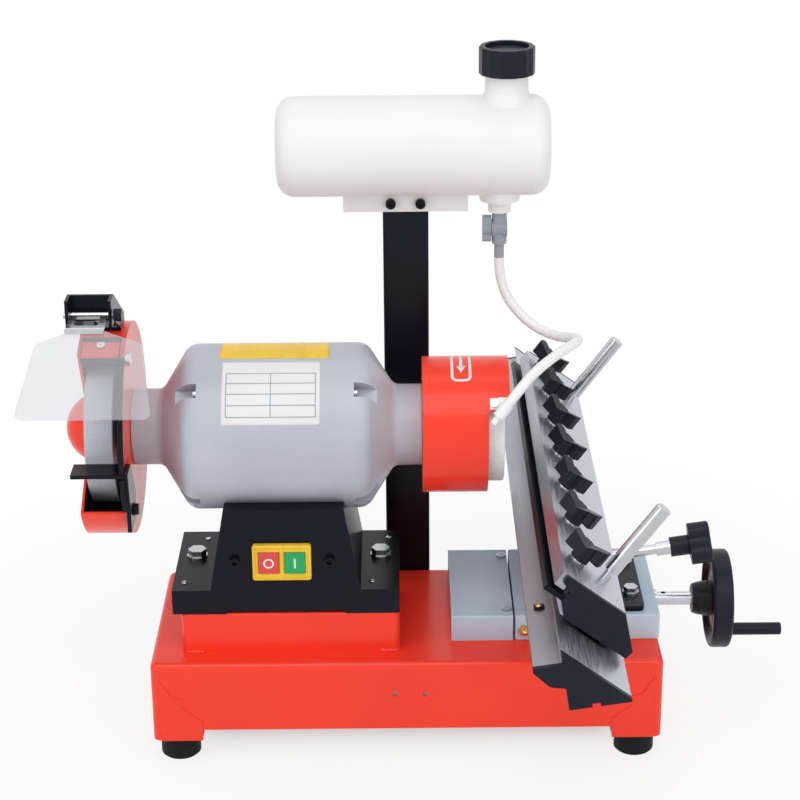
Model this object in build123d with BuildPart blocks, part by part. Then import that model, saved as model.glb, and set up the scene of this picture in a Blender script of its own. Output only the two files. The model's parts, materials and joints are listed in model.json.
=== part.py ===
from build123d import *
import os
from math import asin, cos, pi, radians, sin, sqrt, tan

os.makedirs("parts", exist_ok=True)

# All sizes are millimetres. X runs along the motor, Y from the operator to the back, Z up.

# Sheet, fits and gaps
sheet = 3.0
guard_sheet = 2.5
running_fit = 0.05
slide_gap = 0.1
clearance = 0.3
through = 20.0

# Screw radii
m4 = 2.0
m5 = 2.5
m6 = 3.0
m8 = 4.0
screw_length = 8.0
short_screw = 6.0
frame_nut_flats = 9.0
frame_nut_height = 5.0

# Base
base_length = 511.0
base_width = 210.0
base_top = 112.0
base_x = -11.5
base_y = -10.5
base_corner = 8.0
base_bend = 6.0
leg_length = 50.0
leg_bottom = 26.0
apron_bottom = 38.0
seam_step = 0.8
lap_steps = ((50.0, 48.0), (30.0, 63.0), (30.0, 73.0), (21.0, 75.0))
lap_top = 95.0
bolt_hole_radius = 2.75
bolt_hole_spacing = 30.0
bolt_hole_x = -8.7
bolt_hole_z = 77.0
post_bolt_spacing = 24.0

# Feet
foot_diameter = 40.0
foot_inset_x = 25.0
foot_inset_y = 25.0
foot_recess_radius = 8.0
foot_recess_depth = 14.0
foot_chamfer = 2.0
foot_screw_head = 6.5
foot_nut_flats = 10.0
foot_nut_height = 5.0

# Motor riser
riser_length = 218.0
riser_width = 136.0
riser_height = 43.0
riser_x = -127.0
riser_y = -21.5

# Pedestal
pedestal_length = 226.0
pedestal_x = -131.0
flange_height = 26.0
body_foot_length = 149.0
body_top_length = 118.0
body_height = 87.0
apron_relief = 3.0
wing_bolt_radius = 5.0
wing_nut_flats = 14.0
wing_nut_height = 6.0
rivet_radius = 2.2
rivet_height = 1.0
rivet_x = 8.0
rivet_y = 50.0

# Switch
switch_width = 58.0
switch_height = 38.0
switch_proud = 6.0
switch_x = -133.6
switch_z = 213.4
switch_box_depth = 36.0
button_width = 20.4
button_height = 22.7
button_depth = 9.0
button_pitch = 25.8
button_proud = 0.5
button_pocket = 14.0
switch_round = 3.0
switch_edge = 1.5
switch_rim = 2.2
switch_recess = 1.2
switch_divider = 2.2
switch_box_inset = 4.5
panel_hole_inset = 4.0
button_edge = 0.8
switch_screw_offset = 46.8

# Motor
motor_z = 325.0
barrel_radius = 82.5
motor_wall = 6.5
barrel_left = -202.0
barrel_right = -78.0
shoulder_left = -224.5
shoulder_right = -49.0
cone_length = 27.0
shoulder_round = 16.0
cone_foot_round = 10.0
left_neck_radius = 38.0
right_neck_radius = 40.5
left_neck_end = -281.0
right_neck_end = 6.0
bearing_radius = 23.5
bearing_width = 14.0
shaft_radius = 10.0
shaft_body_radius = 14.0
shaft_hole_radius = 14.5
shaft_chamfer = 1.5
bearing_end_wall = 7.0
bearing_play = 1.0
bell_wall = 6.0
core_length = 90.0
winding_overhang = 12.0
winding_inset = 8.0
winding_bore = 6.0
rotor_radius = 41.4
air_gap = 0.6
bell_screw_circle = 73.0
bell_screw_angle = 47.0
pocket_width = 15.0
pocket_bottom = 66.0
pocket_wall = 4.0
pocket_depth = 11.5
screw_hole_depth = 10.0
guard_screw_circle = 29.0
guard_screw_angles = (30.0, 150.0, 270.0)

# Grinding wheel and its guard
wheel_radius = 75.0
wheel_width = 28.0
wheel_chamfer = 1.0
guard_radius = 106.0
guard_width = 43.0
guard_bore = 19.5
window_low = -30.0
window_high = 63.5
deflector_angle = 62.0
flange_radius = 25.0
flange_thickness = 5.0
nut_flats = 30.0
nut_height = 10.0
thread_end = 5.0
dome_radius = 33.0
dome_height = 22.5
dome_margin = 5.0
cover_tab = 12.0
cover_tab_width = 14.0
cover_tab_thickness = 4.0
cover_screw_inset = 8.0
deflector_gap = 18.0
deflector_foot = 26.0
deflector_foot_shift = 6.0
bracket_angle = 92.0
bracket_width = 44.0
bracket_shift = -6.0
bracket_foot = 30.0
bracket_screw_spread = 8.0

# Tool rest
rest_top = 318.5
rest_bolt_y = -83.5
rest_bolt_z = 268.0
rest_out = 9.0
rest_in = 3.0
rest_thickness = 4.0
rest_width = 48.0
rest_depth = 27.0
rest_overhang = 7.0
rest_slot = 7.0
rest_notch_gap = 6.0
arm_reach_front = 24.0
arm_reach_back = 18.0
arm_below_bolt = 14.0
arm_shoulder_front = 8.0
arm_shoulder_back = 16.0

# Eye shield
shield_hinge_y = -71.0
shield_hinge_z = 465.0
shield_rod_radius = 3.0
shield_top_width = 31.5
shield_low_width = 129.0
shield_top_shift = 2.75
shield_shoulder_width = 99.0
shield_shoulder_shift = 3.5
shield_shoulder_drop = 12.0
shield_low_shift = -3.75
shield_length = 83.0
shield_thickness = 3.0
shield_lean = 19.0
shield_reach = 38.0
shield_drop = 2.3
shield_corner = 6.0
clip_tongue = 4.5
clip_sheet = 2.0
clip_play = 1.0
clip_arm = 3.0
clip_bar = 7.0
hinge_ear = 9.0
hinge_ear_top = 17.0
hinge_wall = 9.0

# Cup wheel and its guard
cup_radius = 57.0
cup_length = 46.0
cup_wall = 14.0
cup_face_x = 86.0
cup_guard_radius = 68.0
cup_back_chamfer = 4.0
cup_guard_end = 91.0
cup_guard_cutback = 21.0
cup_cut_front = 36.0
cup_cut_back = -20.0
sleeve_gap = 0.5
sleeve_play = 1.5
nozzle_angle = 38.0
nozzle_x = 79.0
nozzle_foot = 16.0
nozzle_foot_depth = 11.0
nozzle_foot_height = 6.5
nozzle_screw_shift = 4.0
nozzle_shelf = 4.0
nozzle_wall = 1.0
nozzle_socket = 16.0
nozzle_tip_radius = 3.5
nozzle_length = 24.0

# Tank post and tank
post_width = 46.5
post_depth = 22.0
post_bottom = 45.0
post_top = 532.0
tank_radius = 50.0
tank_length = 272.0
tank_wall = 2.5
tank_end_round = 18.0
tank_x = -1.0
tank_z = 584.5
tab_length = 126.0
tab_thickness = 6.0
tab_bottom = 516.0
tab_overlap = 10.0
tab_screw_height = 9.0
neck_x = 92.0
neck_radius = 21.5
neck_top = 676.0
cap_radius = 27.75
cap_bottom = 657.5
cap_height = 27.0
cap_recess = 4.0
cap_rim = 6.0
cap_flutes = 14
cap_chamfer = 1.0
outlet_x = 86.0
spigot_radius = 11.5
spigot_bottom = 516.5
spigot_height = 20.0
outlet_bore = 4.0
outlet_cone_low = 20.0
outlet_cone_high = 25.0
outlet_cone_rise = 12.0
neck_flare = 18.0
neck_flare_rise = 6.0

# Valve and hose
valve_sleeve = 15.0
stem_radius = 4.0
stem_length = 18.0
lever_gap = 5.9
lever_boss = 7.5
lever_width = 11.0
lever_length = 27.0
lever_thickness = 9.0
valve_barrel_radius = 9.0
valve_reach = 7.7
valve_tube_radius = 7.5
valve_stem_play = 3.0
valve_z = 498.0
barb_bottom = 467.6
hose_radius = 5.0

# Cross slide
slide_y = 7.0
slide_width = 153.0
slide_top = 139.5
cover_left = 34.0
cover_length = 62.0
cover_sheet = 2.0
cover_play = 0.5
cover_post_radius = 6.0
cover_post_front = 13.0
cover_post_back = 19.0
bed_plate = 6.0
bed_lip = 20.0
way_gap = 4.0
feed_channel = 18.0
feed_channel_depth = 4.5
bed_right = 215.0
dovetail_height = 10.0
dovetail_foot = 36.0
dovetail_top = 41.8
gib_thickness = 4.0
saddle_left = 98.0
saddle_length = 146.0
saddle_end_wall = 12.0
saddle_lift = 0.5
saddle_corner = 3.0
saddle_chamfer = 1.0
feed_y = 0.0
feed_z = 122.0
feed_radius = 7.0
feed_nut_inset = 35.0
feed_nut_length = 30.0
feed_overrun = 18.0
feed_collar = 4.0
feed_collar_step = 2.5
feed_cross_hole = 2.5
feed_cross_hole_x = 11.5
feed_tail = 20.0
tunnel_roof = 5.0
tunnel_width = 20.0

# Handwheel
handwheel_reach = 41.0
handwheel_radius = 51.0
handwheel_rim = 20.5
hub_radius = 17.0
hub_length = 17.0
hub_taper = 2.0
rim_thickness = 7.0
web_inset = 4.0
web_thickness = 6.0
crank_offset = 36.5
crank_pin_radius = 4.0
crank_boss_radius = 7.0
crank_boss = 14.0
grip_radius = 6.5
grip_length = 57.0
grip_end = 4.0
grip_round = 1.5
grip_gap = 0.5

# Tilting rail
pivot_x = 154.5
pivot_z = 186.5
pivot_radius = 8.0
rest_tilt = 8.5
bracket_front = -62.0
bracket_back = 60.0
bracket_left_end = 124.0
bracket_right_end = 229.0
bracket_plate = 6.0
bracket_corner = 6.0
bracket_bolt_xs = (132.0, 218.0)
bracket_bolt_ys = (-30.0, 40.0)
bracket_bolt_depth = 7.0
ear_thickness = 8.0
ear_radius = 16.0
ear_flare = 8.0
pivot_head = 3.0
rail_length = 743.0
rail_cap = 5.0
rail_bottom = 23.7
rail_left = -23.5
rail_toe = 31.3
rail_toe_height = 3.0
wedge_sum = 58.0
flange_left = -49.5
flange_top = 68.5
flange_lip = 4.0
flange_depth = 23.0
rail_wall = 5.5
rail_floor = 7.5
rail_hollow_right = 4.0
rail_hollow_top = 29.0
rail_slot_a = 0.5
rail_slot_width = 7.0
rail_slot_depth = 3.5
groove_u = -36.0
groove_half = 11.0
groove_depth = 9.0
groove_flare = 4.0
groove_front = -305.0
shoe_left = -22.0
shoe_right = 30.0
shoe_bottom = -17.0
shoe_gap = 0.5
lock_y = -42.0
lock_stud_radius = 5.0
lock_stud_in_knob = 12.0
lock_collar = 14.0
lock_collar_radius = 7.0
lock_knob_start = 101.5
lock_hub = 19.0
lock_hub_radius = 10.0
lock_knob_radius = 15.0
lock_knob_width = 21.5
lock_knob_round = 3.0
lock_lobe_offset = 12.0
lock_lobe_radius = 10.5

# Carriage, in the slope's own axes: u down the slope, v square to it
carriage_length = 557.0
carriage_y = -32.0
carriage_cap = 4.0
carriage_low = 45.7
carriage_high = 80.1
bar_left = -94.5
bar_right = -64.2
bar_thickness = 7.0
bar_nose = 14.1
bar_nose_length = 10.0
bar_step = 14.5
bar_gap = 0.2
foot_u = -72.8
toe_u = 0.5
toe_height = 9.0
shoulder_u = -26.2
lip_slope = 1.13
rib_width = 9.0
rib_inset = 3.0
toe_rib_u = -9.5
rib_setback = 20.0
key_setback = 224.0
key_clear = 0.35
key_depth = 0.93
hollow_left = -62.0
hollow_low_right = -8.0
hollow_high_right = -28.0
hollow_floor = 5.0
hollow_roof = 20.0
cap_inset = 4.0
jaw_left = -99.5
jaw_thickness = 5.0
blade_slot = 4.5
knob_count = 7
knob_pitch = 80.0
knob_middle = -19.5
knob_u = -75.0
knob_length = 36.0
knob_width = 12.5
knob_height = 16.0
knob_hub = 5.5
knob_hub_radius = 9.0
wing_offset = 4.5
wing_overlap = 4.0
wing_round = 3.0
wing_dip = 6.0
stud_radius = 4.0
stud_depth = 10.0
stud_hole_depth = 12.0
stud_in_knob = 9.0
collar_step = 2.5
collar_height = 2.0
handle_u = -44.0
handle_radius = 7.2
handle_length = 86.0
handle_neck = 10.0
handle_neck_radius = 4.5
handle_chamfer = 1.0
handle_y = (-259.5, 167.5)
knob_twists = (-34.0, -44.0, -62.0, -48.0, -48.0, -62.0, -42.0)

ON_TOP = (Align.CENTER, Align.CENTER, Align.MIN)
BELOW = (Align.CENTER, Align.CENTER, Align.MAX)

# Places worked out from the sizes above
motor_y = base_y
base_front = base_y - base_width / 2
base_back = base_y + base_width / 2
handwheel_x = base_x + base_length / 2 + handwheel_reach
foot_height = leg_bottom
riser_top = base_top + riser_height
pedestal_y = riser_y
pedestal_width = riser_width
pedestal_front = pedestal_y - pedestal_width / 2
wing_top = riser_top + flange_height
body_top = wing_top + body_height
wing_bolt_x = (pedestal_length + body_foot_length) / 4
core_middle = (barrel_left + barrel_right) / 2
guard_x = left_neck_end - guard_sheet
guard_left = left_neck_end - guard_width
wheel_left = guard_left + guard_sheet
wheel_right = wheel_left + wheel_width
cup_left = cup_face_x - cup_length
post_front = base_back
tank_y = post_front - tab_thickness
saddle_right = saddle_left + saddle_length
bed_top = base_top + bed_plate
way_top = bed_top + dovetail_height
bracket_top = slide_top + bracket_plate
slope = 45.0 - rest_tilt
slope_v = wedge_sum / sqrt(2)

foot_places = [
    (base_x + sx * (base_length / 2 - foot_inset_x), base_y + sy * (base_width / 2 - foot_inset_y), 0)
    for sx in (-1, 1)
    for sy in (-1, 1)
]
bolt_xs = [bolt_hole_x + s * bolt_hole_spacing / 2 for s in (-1, 1)]
post_bolt_xs = [bolt_hole_x + s * post_bolt_spacing / 2 for s in (-1, 1)]
knob_ys = [knob_middle + (i - (knob_count - 1) / 2) * knob_pitch for i in range(knob_count)]


def facing_front(x, y, z):
    """Plane whose normal points to the operator, X to the right and Z up."""
    return Plane(origin=(x, y, z), x_dir=(1, 0, 0), z_dir=(0, -1, 0))


def facing_back(x, y, z):
    """Plane whose normal points away from the operator."""
    return Plane(origin=(x, y, z), x_dir=(1, 0, 0), z_dir=(0, 1, 0))


def facing_right(x, y, z):
    """Plane whose normal points along +X, Y to the right and Z up."""
    return Plane(origin=(x, y, z), x_dir=(0, 1, 0), z_dir=(1, 0, 0))


def on_rim(angle, radius, x):
    """Plane square to the wheel's radius, angle counted upwards from the front."""
    c = cos(radians(angle))
    s = sin(radians(angle))
    place = (x, motor_y - radius * c, motor_z + radius * s)
    return Plane(origin=place, x_dir=(1, 0, 0), z_dir=(0, -c, s))


def rail_section(y):
    """Plane of the rail's cross-section, with its bottom along the local X axis."""
    tilt = radians(rest_tilt)
    return Plane(origin=(pivot_x, y, pivot_z), x_dir=(cos(tilt), 0, sin(tilt)), z_dir=(0, -1, 0))


def slope_section(y):
    """Plane of the carriage's cross-section, with the slope along the local X axis."""
    s = radians(slope)
    return Plane(origin=(pivot_x, y, pivot_z), x_dir=(cos(s), 0, -sin(s)), z_dir=(0, -1, 0))


def on_slope(u, v, y, twist=0.0):
    """Plane on the slope at u and v, its normal square to the slope and its X axis twisted off u."""
    s = radians(slope)
    t = radians(twist)
    place = (pivot_x + u * cos(s) + v * sin(s), y, pivot_z - u * sin(s) + v * cos(s))
    along = (cos(t) * cos(s), sin(t), -cos(t) * sin(s))
    return Plane(origin=place, x_dir=along, z_dir=(sin(s), 0, cos(s)))


def along_rail_bottom(a, b, y):
    """Plane whose normal points right along the rail's bottom."""
    t = radians(rest_tilt)
    place = (pivot_x + a * cos(t) - b * sin(t), y, pivot_z + a * sin(t) + b * cos(t))
    return Plane(origin=place, x_dir=(0, 1, 0), z_dir=(cos(t), 0, sin(t)))


def write(piece, name):
    piece.part.label = name
    export_step(piece.part, f"parts/{name}.step")


def turned(points, radii, y, z):
    """Revolve a closed outline of (x, radius) points about an axis along X."""
    with BuildSketch(facing_front(0, y, z)) as outline:
        with BuildLine():
            FilletPolyline(*points, radius=radii, close=True)
        make_face()
    revolve(outline.sketch, axis=Axis((0, y, z), (1, 0, 0)))


def hex_head(plane, flats, height):
    """Hexagon standing on a plane."""
    with BuildSketch(plane) as outline:
        RegularPolygon(flats / 2, 6, major_radius=False)
    extrude(outline.sketch, amount=height)


def hex_bolt(plane, shank, length):
    """Hexagon bolt with a washer, its head on the plane."""
    with Locations(plane):
        Cylinder(2.1 * shank, 0.3 * shank, align=ON_TOP)
        Cylinder(shank, length, align=BELOW)
    hex_head(plane.offset(0.3 * shank), 3.2 * shank, 1.3 * shank)


def socket_screw(plane, shank, length):
    """Cylinder head screw with a hexagon socket, its head on the plane."""
    head = 1.7 * shank
    with Locations(plane):
        Cylinder(head, 1.8 * shank, align=ON_TOP)
        Cylinder(shank, length, align=BELOW)
    with BuildSketch(plane.offset(1.8 * shank)) as socket:
        RegularPolygon(0.85 * shank, 6, major_radius=False)
    extrude(socket.sketch, amount=-shank, mode=Mode.SUBTRACT)


def pan_screw(plane, shank, length):
    """Pan head screw with a cross recess, its head on the plane."""
    head = 2.0 * shank
    height = 1.3 * shank
    with Locations(plane):
        Cylinder(head, height, align=ON_TOP)
        Cylinder(shank, length, align=BELOW)
    with Locations(plane.offset(height)):
        Box(1.2 * head, 0.35 * shank, shank, mode=Mode.SUBTRACT)
        Box(0.35 * shank, 1.2 * head, shank, mode=Mode.SUBTRACT)


# Base: a folded box, open below, with two end legs
with BuildPart() as base_shell:
    with BuildSketch(Plane((base_x, base_y, leg_bottom))):
        RectangleRounded(base_length, base_width, base_corner)
    extrude(amount=base_top - leg_bottom)
    fillet(base_shell.faces().sort_by(Axis.Z)[-1].edges(), radius=base_bend)
    with BuildSketch(Plane((base_x, base_y, leg_bottom))):
        RectangleRounded(base_length - 2 * sheet, base_width - 2 * sheet, base_corner - sheet)
    extrude(amount=base_top - leg_bottom - sheet, mode=Mode.SUBTRACT)
    for side in (-1, 1):
        plate_x = base_x + side * (base_length - leg_length - sheet) / 2
        with Locations((plate_x, base_y, leg_bottom)):
            Box(leg_length - sheet, base_width - 2 * sheet, sheet, align=ON_TOP)
    with Locations((base_x, base_y, leg_bottom)):
        apron_gap = base_length - 2 * leg_length
        Box(apron_gap, base_width + sheet, apron_bottom - leg_bottom, align=ON_TOP, mode=Mode.SUBTRACT)
    # Raised corner laps on the front and the back
    for side in (-1, 1):
        for face in (-1, 1):
            lap_origin = (base_x + side * base_length / 2, base_y + face * base_width / 2, 0)
            up = side * face
            with BuildSketch(Plane(origin=lap_origin, x_dir=(-side, 0, 0), z_dir=(0, face, 0))):
                with BuildLine():
                    Polyline(
                        (base_corner, up * leg_bottom),
                        (leg_length, up * leg_bottom),
                        *[(inward, up * height) for inward, height in lap_steps],
                        (base_corner, up * lap_top),
                        close=True,
                    )
                make_face()
            extrude(amount=seam_step)
    for x in bolt_xs:
        with Locations(facing_front(x, base_front, bolt_hole_z)):
            Cylinder(bolt_hole_radius, 4 * sheet, mode=Mode.SUBTRACT)
    for x in post_bolt_xs:
        with Locations(facing_front(x, base_back, bolt_hole_z)):
            Cylinder(m6 + clearance, 4 * sheet, mode=Mode.SUBTRACT)
    with Locations(*[(x, y, leg_bottom) for x, y, _ in foot_places]):
        Cylinder(m6 + clearance, 4 * sheet, mode=Mode.SUBTRACT)
write(base_shell, "base_shell")

# Feet with a recess for the screw head
with BuildPart() as rubber_feet:
    with Locations(*foot_places):
        Cylinder(foot_diameter / 2, foot_height, align=ON_TOP)
    chamfer(rubber_feet.edges().group_by(Axis.Z)[0], length=foot_chamfer)
    with Locations(*foot_places):
        Cylinder(foot_recess_radius, foot_recess_depth, align=ON_TOP, mode=Mode.SUBTRACT)
        Cylinder(m6 + clearance, foot_height, align=ON_TOP, mode=Mode.SUBTRACT)
write(rubber_feet, "rubber_feet")

# Riser welded to the base
with BuildPart() as motor_riser:
    with Locations((riser_x, riser_y, base_top)):
        Box(riser_length, riser_width, riser_height, align=ON_TOP)
    fillet(motor_riser.edges().filter_by(Axis.Z), radius=base_bend)
    fillet(motor_riser.faces().sort_by(Axis.Z)[-1].edges(), radius=sheet)
    with Locations((riser_x, riser_y, base_top)):
        Box(
            riser_length - 2 * sheet,
            riser_width - 2 * sheet,
            riser_height - sheet,
            align=ON_TOP,
            mode=Mode.SUBTRACT,
        )
    with Locations(*[(pedestal_x + s * wing_bolt_x, motor_y, riser_top) for s in (-1, 1)]):
        Cylinder(wing_bolt_radius + clearance, 4 * sheet, mode=Mode.SUBTRACT)
write(motor_riser, "motor_riser")


def body_outline(inset, low):
    """Trapezoid of the pedestal's body, drawn in X and Z."""
    rise = body_height / ((body_foot_length - body_top_length) / 2)
    low_half = body_foot_length / 2 - inset + (wing_top - low) / rise
    high_half = body_top_length / 2 - inset
    with BuildLine() as outline:
        Polyline(
            (pedestal_x - low_half, low),
            (pedestal_x + low_half, low),
            (pedestal_x + high_half, body_top - inset),
            (pedestal_x - high_half, body_top - inset),
            close=True,
        )
    make_face(outline.edges())


# Pedestal: a folded flange with two bolted wings, and a hollow body that cradles the motor
with BuildPart() as pedestal_hollow:
    with BuildSketch(facing_front(0, pedestal_front + sheet, 0)):
        body_outline(sheet, wing_top - 2 * sheet)
    extrude(amount=-(pedestal_width - 2 * sheet))
    with Locations(facing_right(pedestal_x, motor_y, motor_z)):
        Cylinder(barrel_radius + sheet, pedestal_length, mode=Mode.SUBTRACT)

with BuildPart() as pedestal:
    with Locations((pedestal_x, pedestal_y, riser_top)):
        Box(pedestal_length, pedestal_width, flange_height, align=ON_TOP)
        Box(
            pedestal_length - 2 * sheet,
            pedestal_width - 2 * sheet,
            flange_height - sheet,
            align=ON_TOP,
            mode=Mode.SUBTRACT,
        )
    with BuildSketch(facing_front(0, pedestal_front, 0)):
        body_outline(0, wing_top)
    extrude(amount=-pedestal_width)
    add(pedestal_hollow.part, mode=Mode.SUBTRACT)
    with Locations(facing_right(pedestal_x, motor_y, motor_z)):
        Cylinder(barrel_radius + clearance, pedestal_length, mode=Mode.SUBTRACT)
    with Locations((pedestal_x, pedestal_front, riser_top)):
        Box(body_top_length, 4 * sheet, 2 * apron_relief, mode=Mode.SUBTRACT)
    for side in (-1, 1):
        wing_x = pedestal_x + side * wing_bolt_x
        with Locations((wing_x, motor_y, wing_top)):
            Cylinder(wing_bolt_radius + clearance, 4 * sheet, mode=Mode.SUBTRACT)
        with Locations(*[(wing_x + s * rivet_x, pedestal_y + s * rivet_y, wing_top) for s in (-1, 1)]):
            Cylinder(rivet_radius, rivet_height, align=ON_TOP)
    panel_hole_length = switch_width - 2 * panel_hole_inset
    panel_hole_height = switch_height - 2 * panel_hole_inset
    with Locations((switch_x, pedestal_front, switch_z)):
        Box(panel_hole_length, 4 * sheet, panel_hole_height, mode=Mode.SUBTRACT)
    for side in (-1, 1):
        with Locations(facing_front(switch_x + side * switch_screw_offset, pedestal_front, switch_z)):
            Cylinder(m6 + clearance, 4 * sheet, mode=Mode.SUBTRACT)
write(pedestal, "pedestal")

# Switch: a frame in front of the panel and the contact box behind it
button_front = pedestal_front - switch_proud
button_xs = [switch_x + s * button_pitch / 2 for s in (-1, 1)]
with BuildPart() as switch_frame:
    with BuildSketch(facing_front(switch_x, pedestal_front, switch_z)):
        RectangleRounded(switch_width, switch_height, switch_round)
    extrude(amount=switch_proud)
    fillet(switch_frame.faces().sort_by(Axis.Y)[0].edges(), radius=switch_edge)
    with BuildSketch(facing_front(switch_x, button_front, switch_z)):
        Rectangle(switch_width - 2 * switch_rim, switch_height - 2 * switch_rim)
        Rectangle(switch_divider, switch_height, mode=Mode.SUBTRACT)
    extrude(amount=-switch_recess, mode=Mode.SUBTRACT)
    with Locations((switch_x, pedestal_front + switch_box_depth / 2, switch_z)):
        Box(switch_width - 2 * switch_box_inset, switch_box_depth, switch_height - 2 * switch_box_inset)
    with Locations(*[(x, button_front + button_pocket / 2, switch_z) for x in button_xs]):
        Box(
            button_width + 2 * clearance,
            button_pocket,
            button_height + 2 * clearance,
            mode=Mode.SUBTRACT,
        )
write(switch_frame, "switch_frame")

for x, name in zip(button_xs, ("stop_button", "start_button")):
    with BuildPart() as button:
        with BuildSketch(facing_front(x, button_front - button_proud, switch_z)):
            RectangleRounded(button_width, button_height, switch_edge)
        extrude(amount=-button_depth)
        fillet(button.faces().sort_by(Axis.Y)[0].edges(), radius=button_edge)
    write(button, name)

# Motor barrel with the wound stator pressed into it
inner_radius = barrel_radius - motor_wall
stator_bore = rotor_radius + air_gap
winding_length = core_length + 2 * winding_overhang
with BuildPart() as motor_housing:
    with Locations(facing_right(core_middle, motor_y, motor_z)):
        Cylinder(inner_radius - slide_gap, core_length)
        Cylinder(inner_radius - winding_inset, winding_length)
        Cylinder(stator_bore + winding_bore, winding_length, mode=Mode.SUBTRACT)
    with Locations(facing_right(core_middle, motor_y, motor_z)):
        Cylinder(stator_bore + winding_bore, core_length)
        Cylinder(stator_bore, core_length, mode=Mode.SUBTRACT)
    with BuildSketch(facing_right(barrel_left, motor_y, motor_z)):
        Circle(barrel_radius)
        Circle(inner_radius, mode=Mode.SUBTRACT)
    extrude(amount=barrel_right - barrel_left)
write(motor_housing, "motor_housing")


def end_bell(seam, shoulder, neck_radius, neck_end, side):
    """Outline of one end bell, from the barrel's seam out to the neck; side is -1 or 1."""
    cone_end = shoulder + side * cone_length
    seat = neck_end - side * bearing_end_wall
    seat_start = seat - side * (bearing_width + bearing_play)
    outline = [
        (seam, barrel_radius),
        (shoulder, barrel_radius),
        (cone_end, neck_radius),
        (neck_end, neck_radius),
        (neck_end, shaft_hole_radius),
        (seat, shaft_hole_radius),
        (seat, bearing_radius),
        (seat_start, bearing_radius),
        (seat_start, bearing_radius + bell_wall),
        (cone_end - side * (bell_wall - 1), bearing_radius + bell_wall),
        (shoulder - side * bell_wall / 2, inner_radius),
        (seam, inner_radius),
    ]
    turned(outline, [0, shoulder_round, cone_foot_round, 1.5, 0, 0, 0, 0, 0, 0, 0, 0], motor_y, motor_z)


def bell_screw(x, k, side, radius=bell_screw_circle):
    """Plane at one end bell screw, its normal along the motor and its X axis out along the radius."""
    turn = radians(180 - bell_screw_angle + 90 * k)
    out = (0, cos(turn), sin(turn))
    place = (x, motor_y + radius * out[1], motor_z + radius * out[2])
    return Plane(origin=place, x_dir=out, z_dir=(side, 0, 0))


def ring_screw(x, radius, angle, side):
    """Plane of a screw on a circle about the motor's axis, angle counted upwards from the front."""
    turn = radians(180 - angle)
    place = (x, motor_y + radius * cos(turn), motor_z + radius * sin(turn))
    return Plane(origin=place, x_dir=(0, 1, 0), z_dir=(side, 0, 0))


def pocket_end(shoulder, side):
    """Place along X of the wall that a bell screw's head sits on."""
    return shoulder - side * pocket_depth


def bell_pockets(seam, shoulder, side):
    """Bosses inside the bell, and the notches cut into them from outside for the screw heads."""
    boss_width = pocket_width + 2 * pocket_wall
    boss_bottom = pocket_bottom - pocket_wall
    outward = (Align.MIN, Align.CENTER, Align.MIN)
    for k in range(4):
        with Locations(bell_screw(seam, k, side, boss_bottom)):
            Box(inner_radius + 0.5 - boss_bottom, boss_width, abs(shoulder - seam) + 1, align=outward)
            Box(2 * pocket_wall, boss_width, abs(shoulder - seam) + bell_wall, align=outward)
    for k in range(4):
        with Locations(bell_screw(pocket_end(shoulder, side), k, side, pocket_bottom)):
            Box(barrel_radius, pocket_width, cone_length, align=outward, mode=Mode.SUBTRACT)
        with Locations(bell_screw(pocket_end(shoulder, side), k, side)):
            Cylinder(m5 + running_fit, screw_hole_depth, align=BELOW, mode=Mode.SUBTRACT)


def neck_holes(neck_end, side):
    """Threaded holes in the neck for the screws of the guard."""
    for angle in guard_screw_angles:
        with Locations(ring_screw(neck_end, guard_screw_circle, angle, side)):
            Cylinder(m5 + running_fit, screw_hole_depth, align=BELOW, mode=Mode.SUBTRACT)


with BuildPart() as end_bell_left:
    end_bell(barrel_left, shoulder_left, left_neck_radius, left_neck_end, -1)
    bell_pockets(barrel_left, shoulder_left, -1)
    neck_holes(left_neck_end, -1)
write(end_bell_left, "end_bell_left")

with BuildPart() as end_bell_right:
    end_bell(barrel_right, shoulder_right, right_neck_radius, right_neck_end, 1)
    bell_pockets(barrel_right, shoulder_right, 1)
    neck_holes(right_neck_end, 1)
write(end_bell_right, "end_bell_right")

# Two bearings, and the shaft with the rotor pressed on it
left_seat = left_neck_end + bearing_end_wall
right_seat = right_neck_end - bearing_end_wall
with BuildPart() as motor_bearings:
    for middle in (left_seat + bearing_width / 2, right_seat - bearing_width / 2):
        with Locations(facing_right(middle, motor_y, motor_z)):
            Cylinder(bearing_radius - running_fit, bearing_width)
            Cylinder(shaft_radius + running_fit, bearing_width, mode=Mode.SUBTRACT)
write(motor_bearings, "motor_bearings")

shaft_left = wheel_left - flange_thickness - nut_height - thread_end
shaft_right = cup_left + cup_wall + flange_thickness + nut_height + thread_end
body_left = left_seat + bearing_width + bearing_play
body_right = right_seat - bearing_width - bearing_play
with BuildPart() as spindle_shaft:
    turned(
        [
            (shaft_left, 0),
            (shaft_left, shaft_radius),
            (body_left, shaft_radius),
            (body_left, shaft_body_radius),
            (body_right, shaft_body_radius),
            (body_right, shaft_radius),
            (shaft_right, shaft_radius),
            (shaft_right, 0),
        ],
        0,
        motor_y,
        motor_z,
    )
    chamfer(spindle_shaft.edges().filter_by(GeomType.CIRCLE).sort_by(Axis.X)[0], length=shaft_chamfer)
    chamfer(spindle_shaft.edges().filter_by(GeomType.CIRCLE).sort_by(Axis.X)[-1], length=shaft_chamfer)
    with BuildSketch(facing_right(core_middle - core_length / 2, motor_y, motor_z)):
        Circle(rotor_radius)
        Circle(shaft_body_radius + running_fit, mode=Mode.SUBTRACT)
    extrude(amount=core_length)
write(spindle_shaft, "spindle_shaft")

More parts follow.
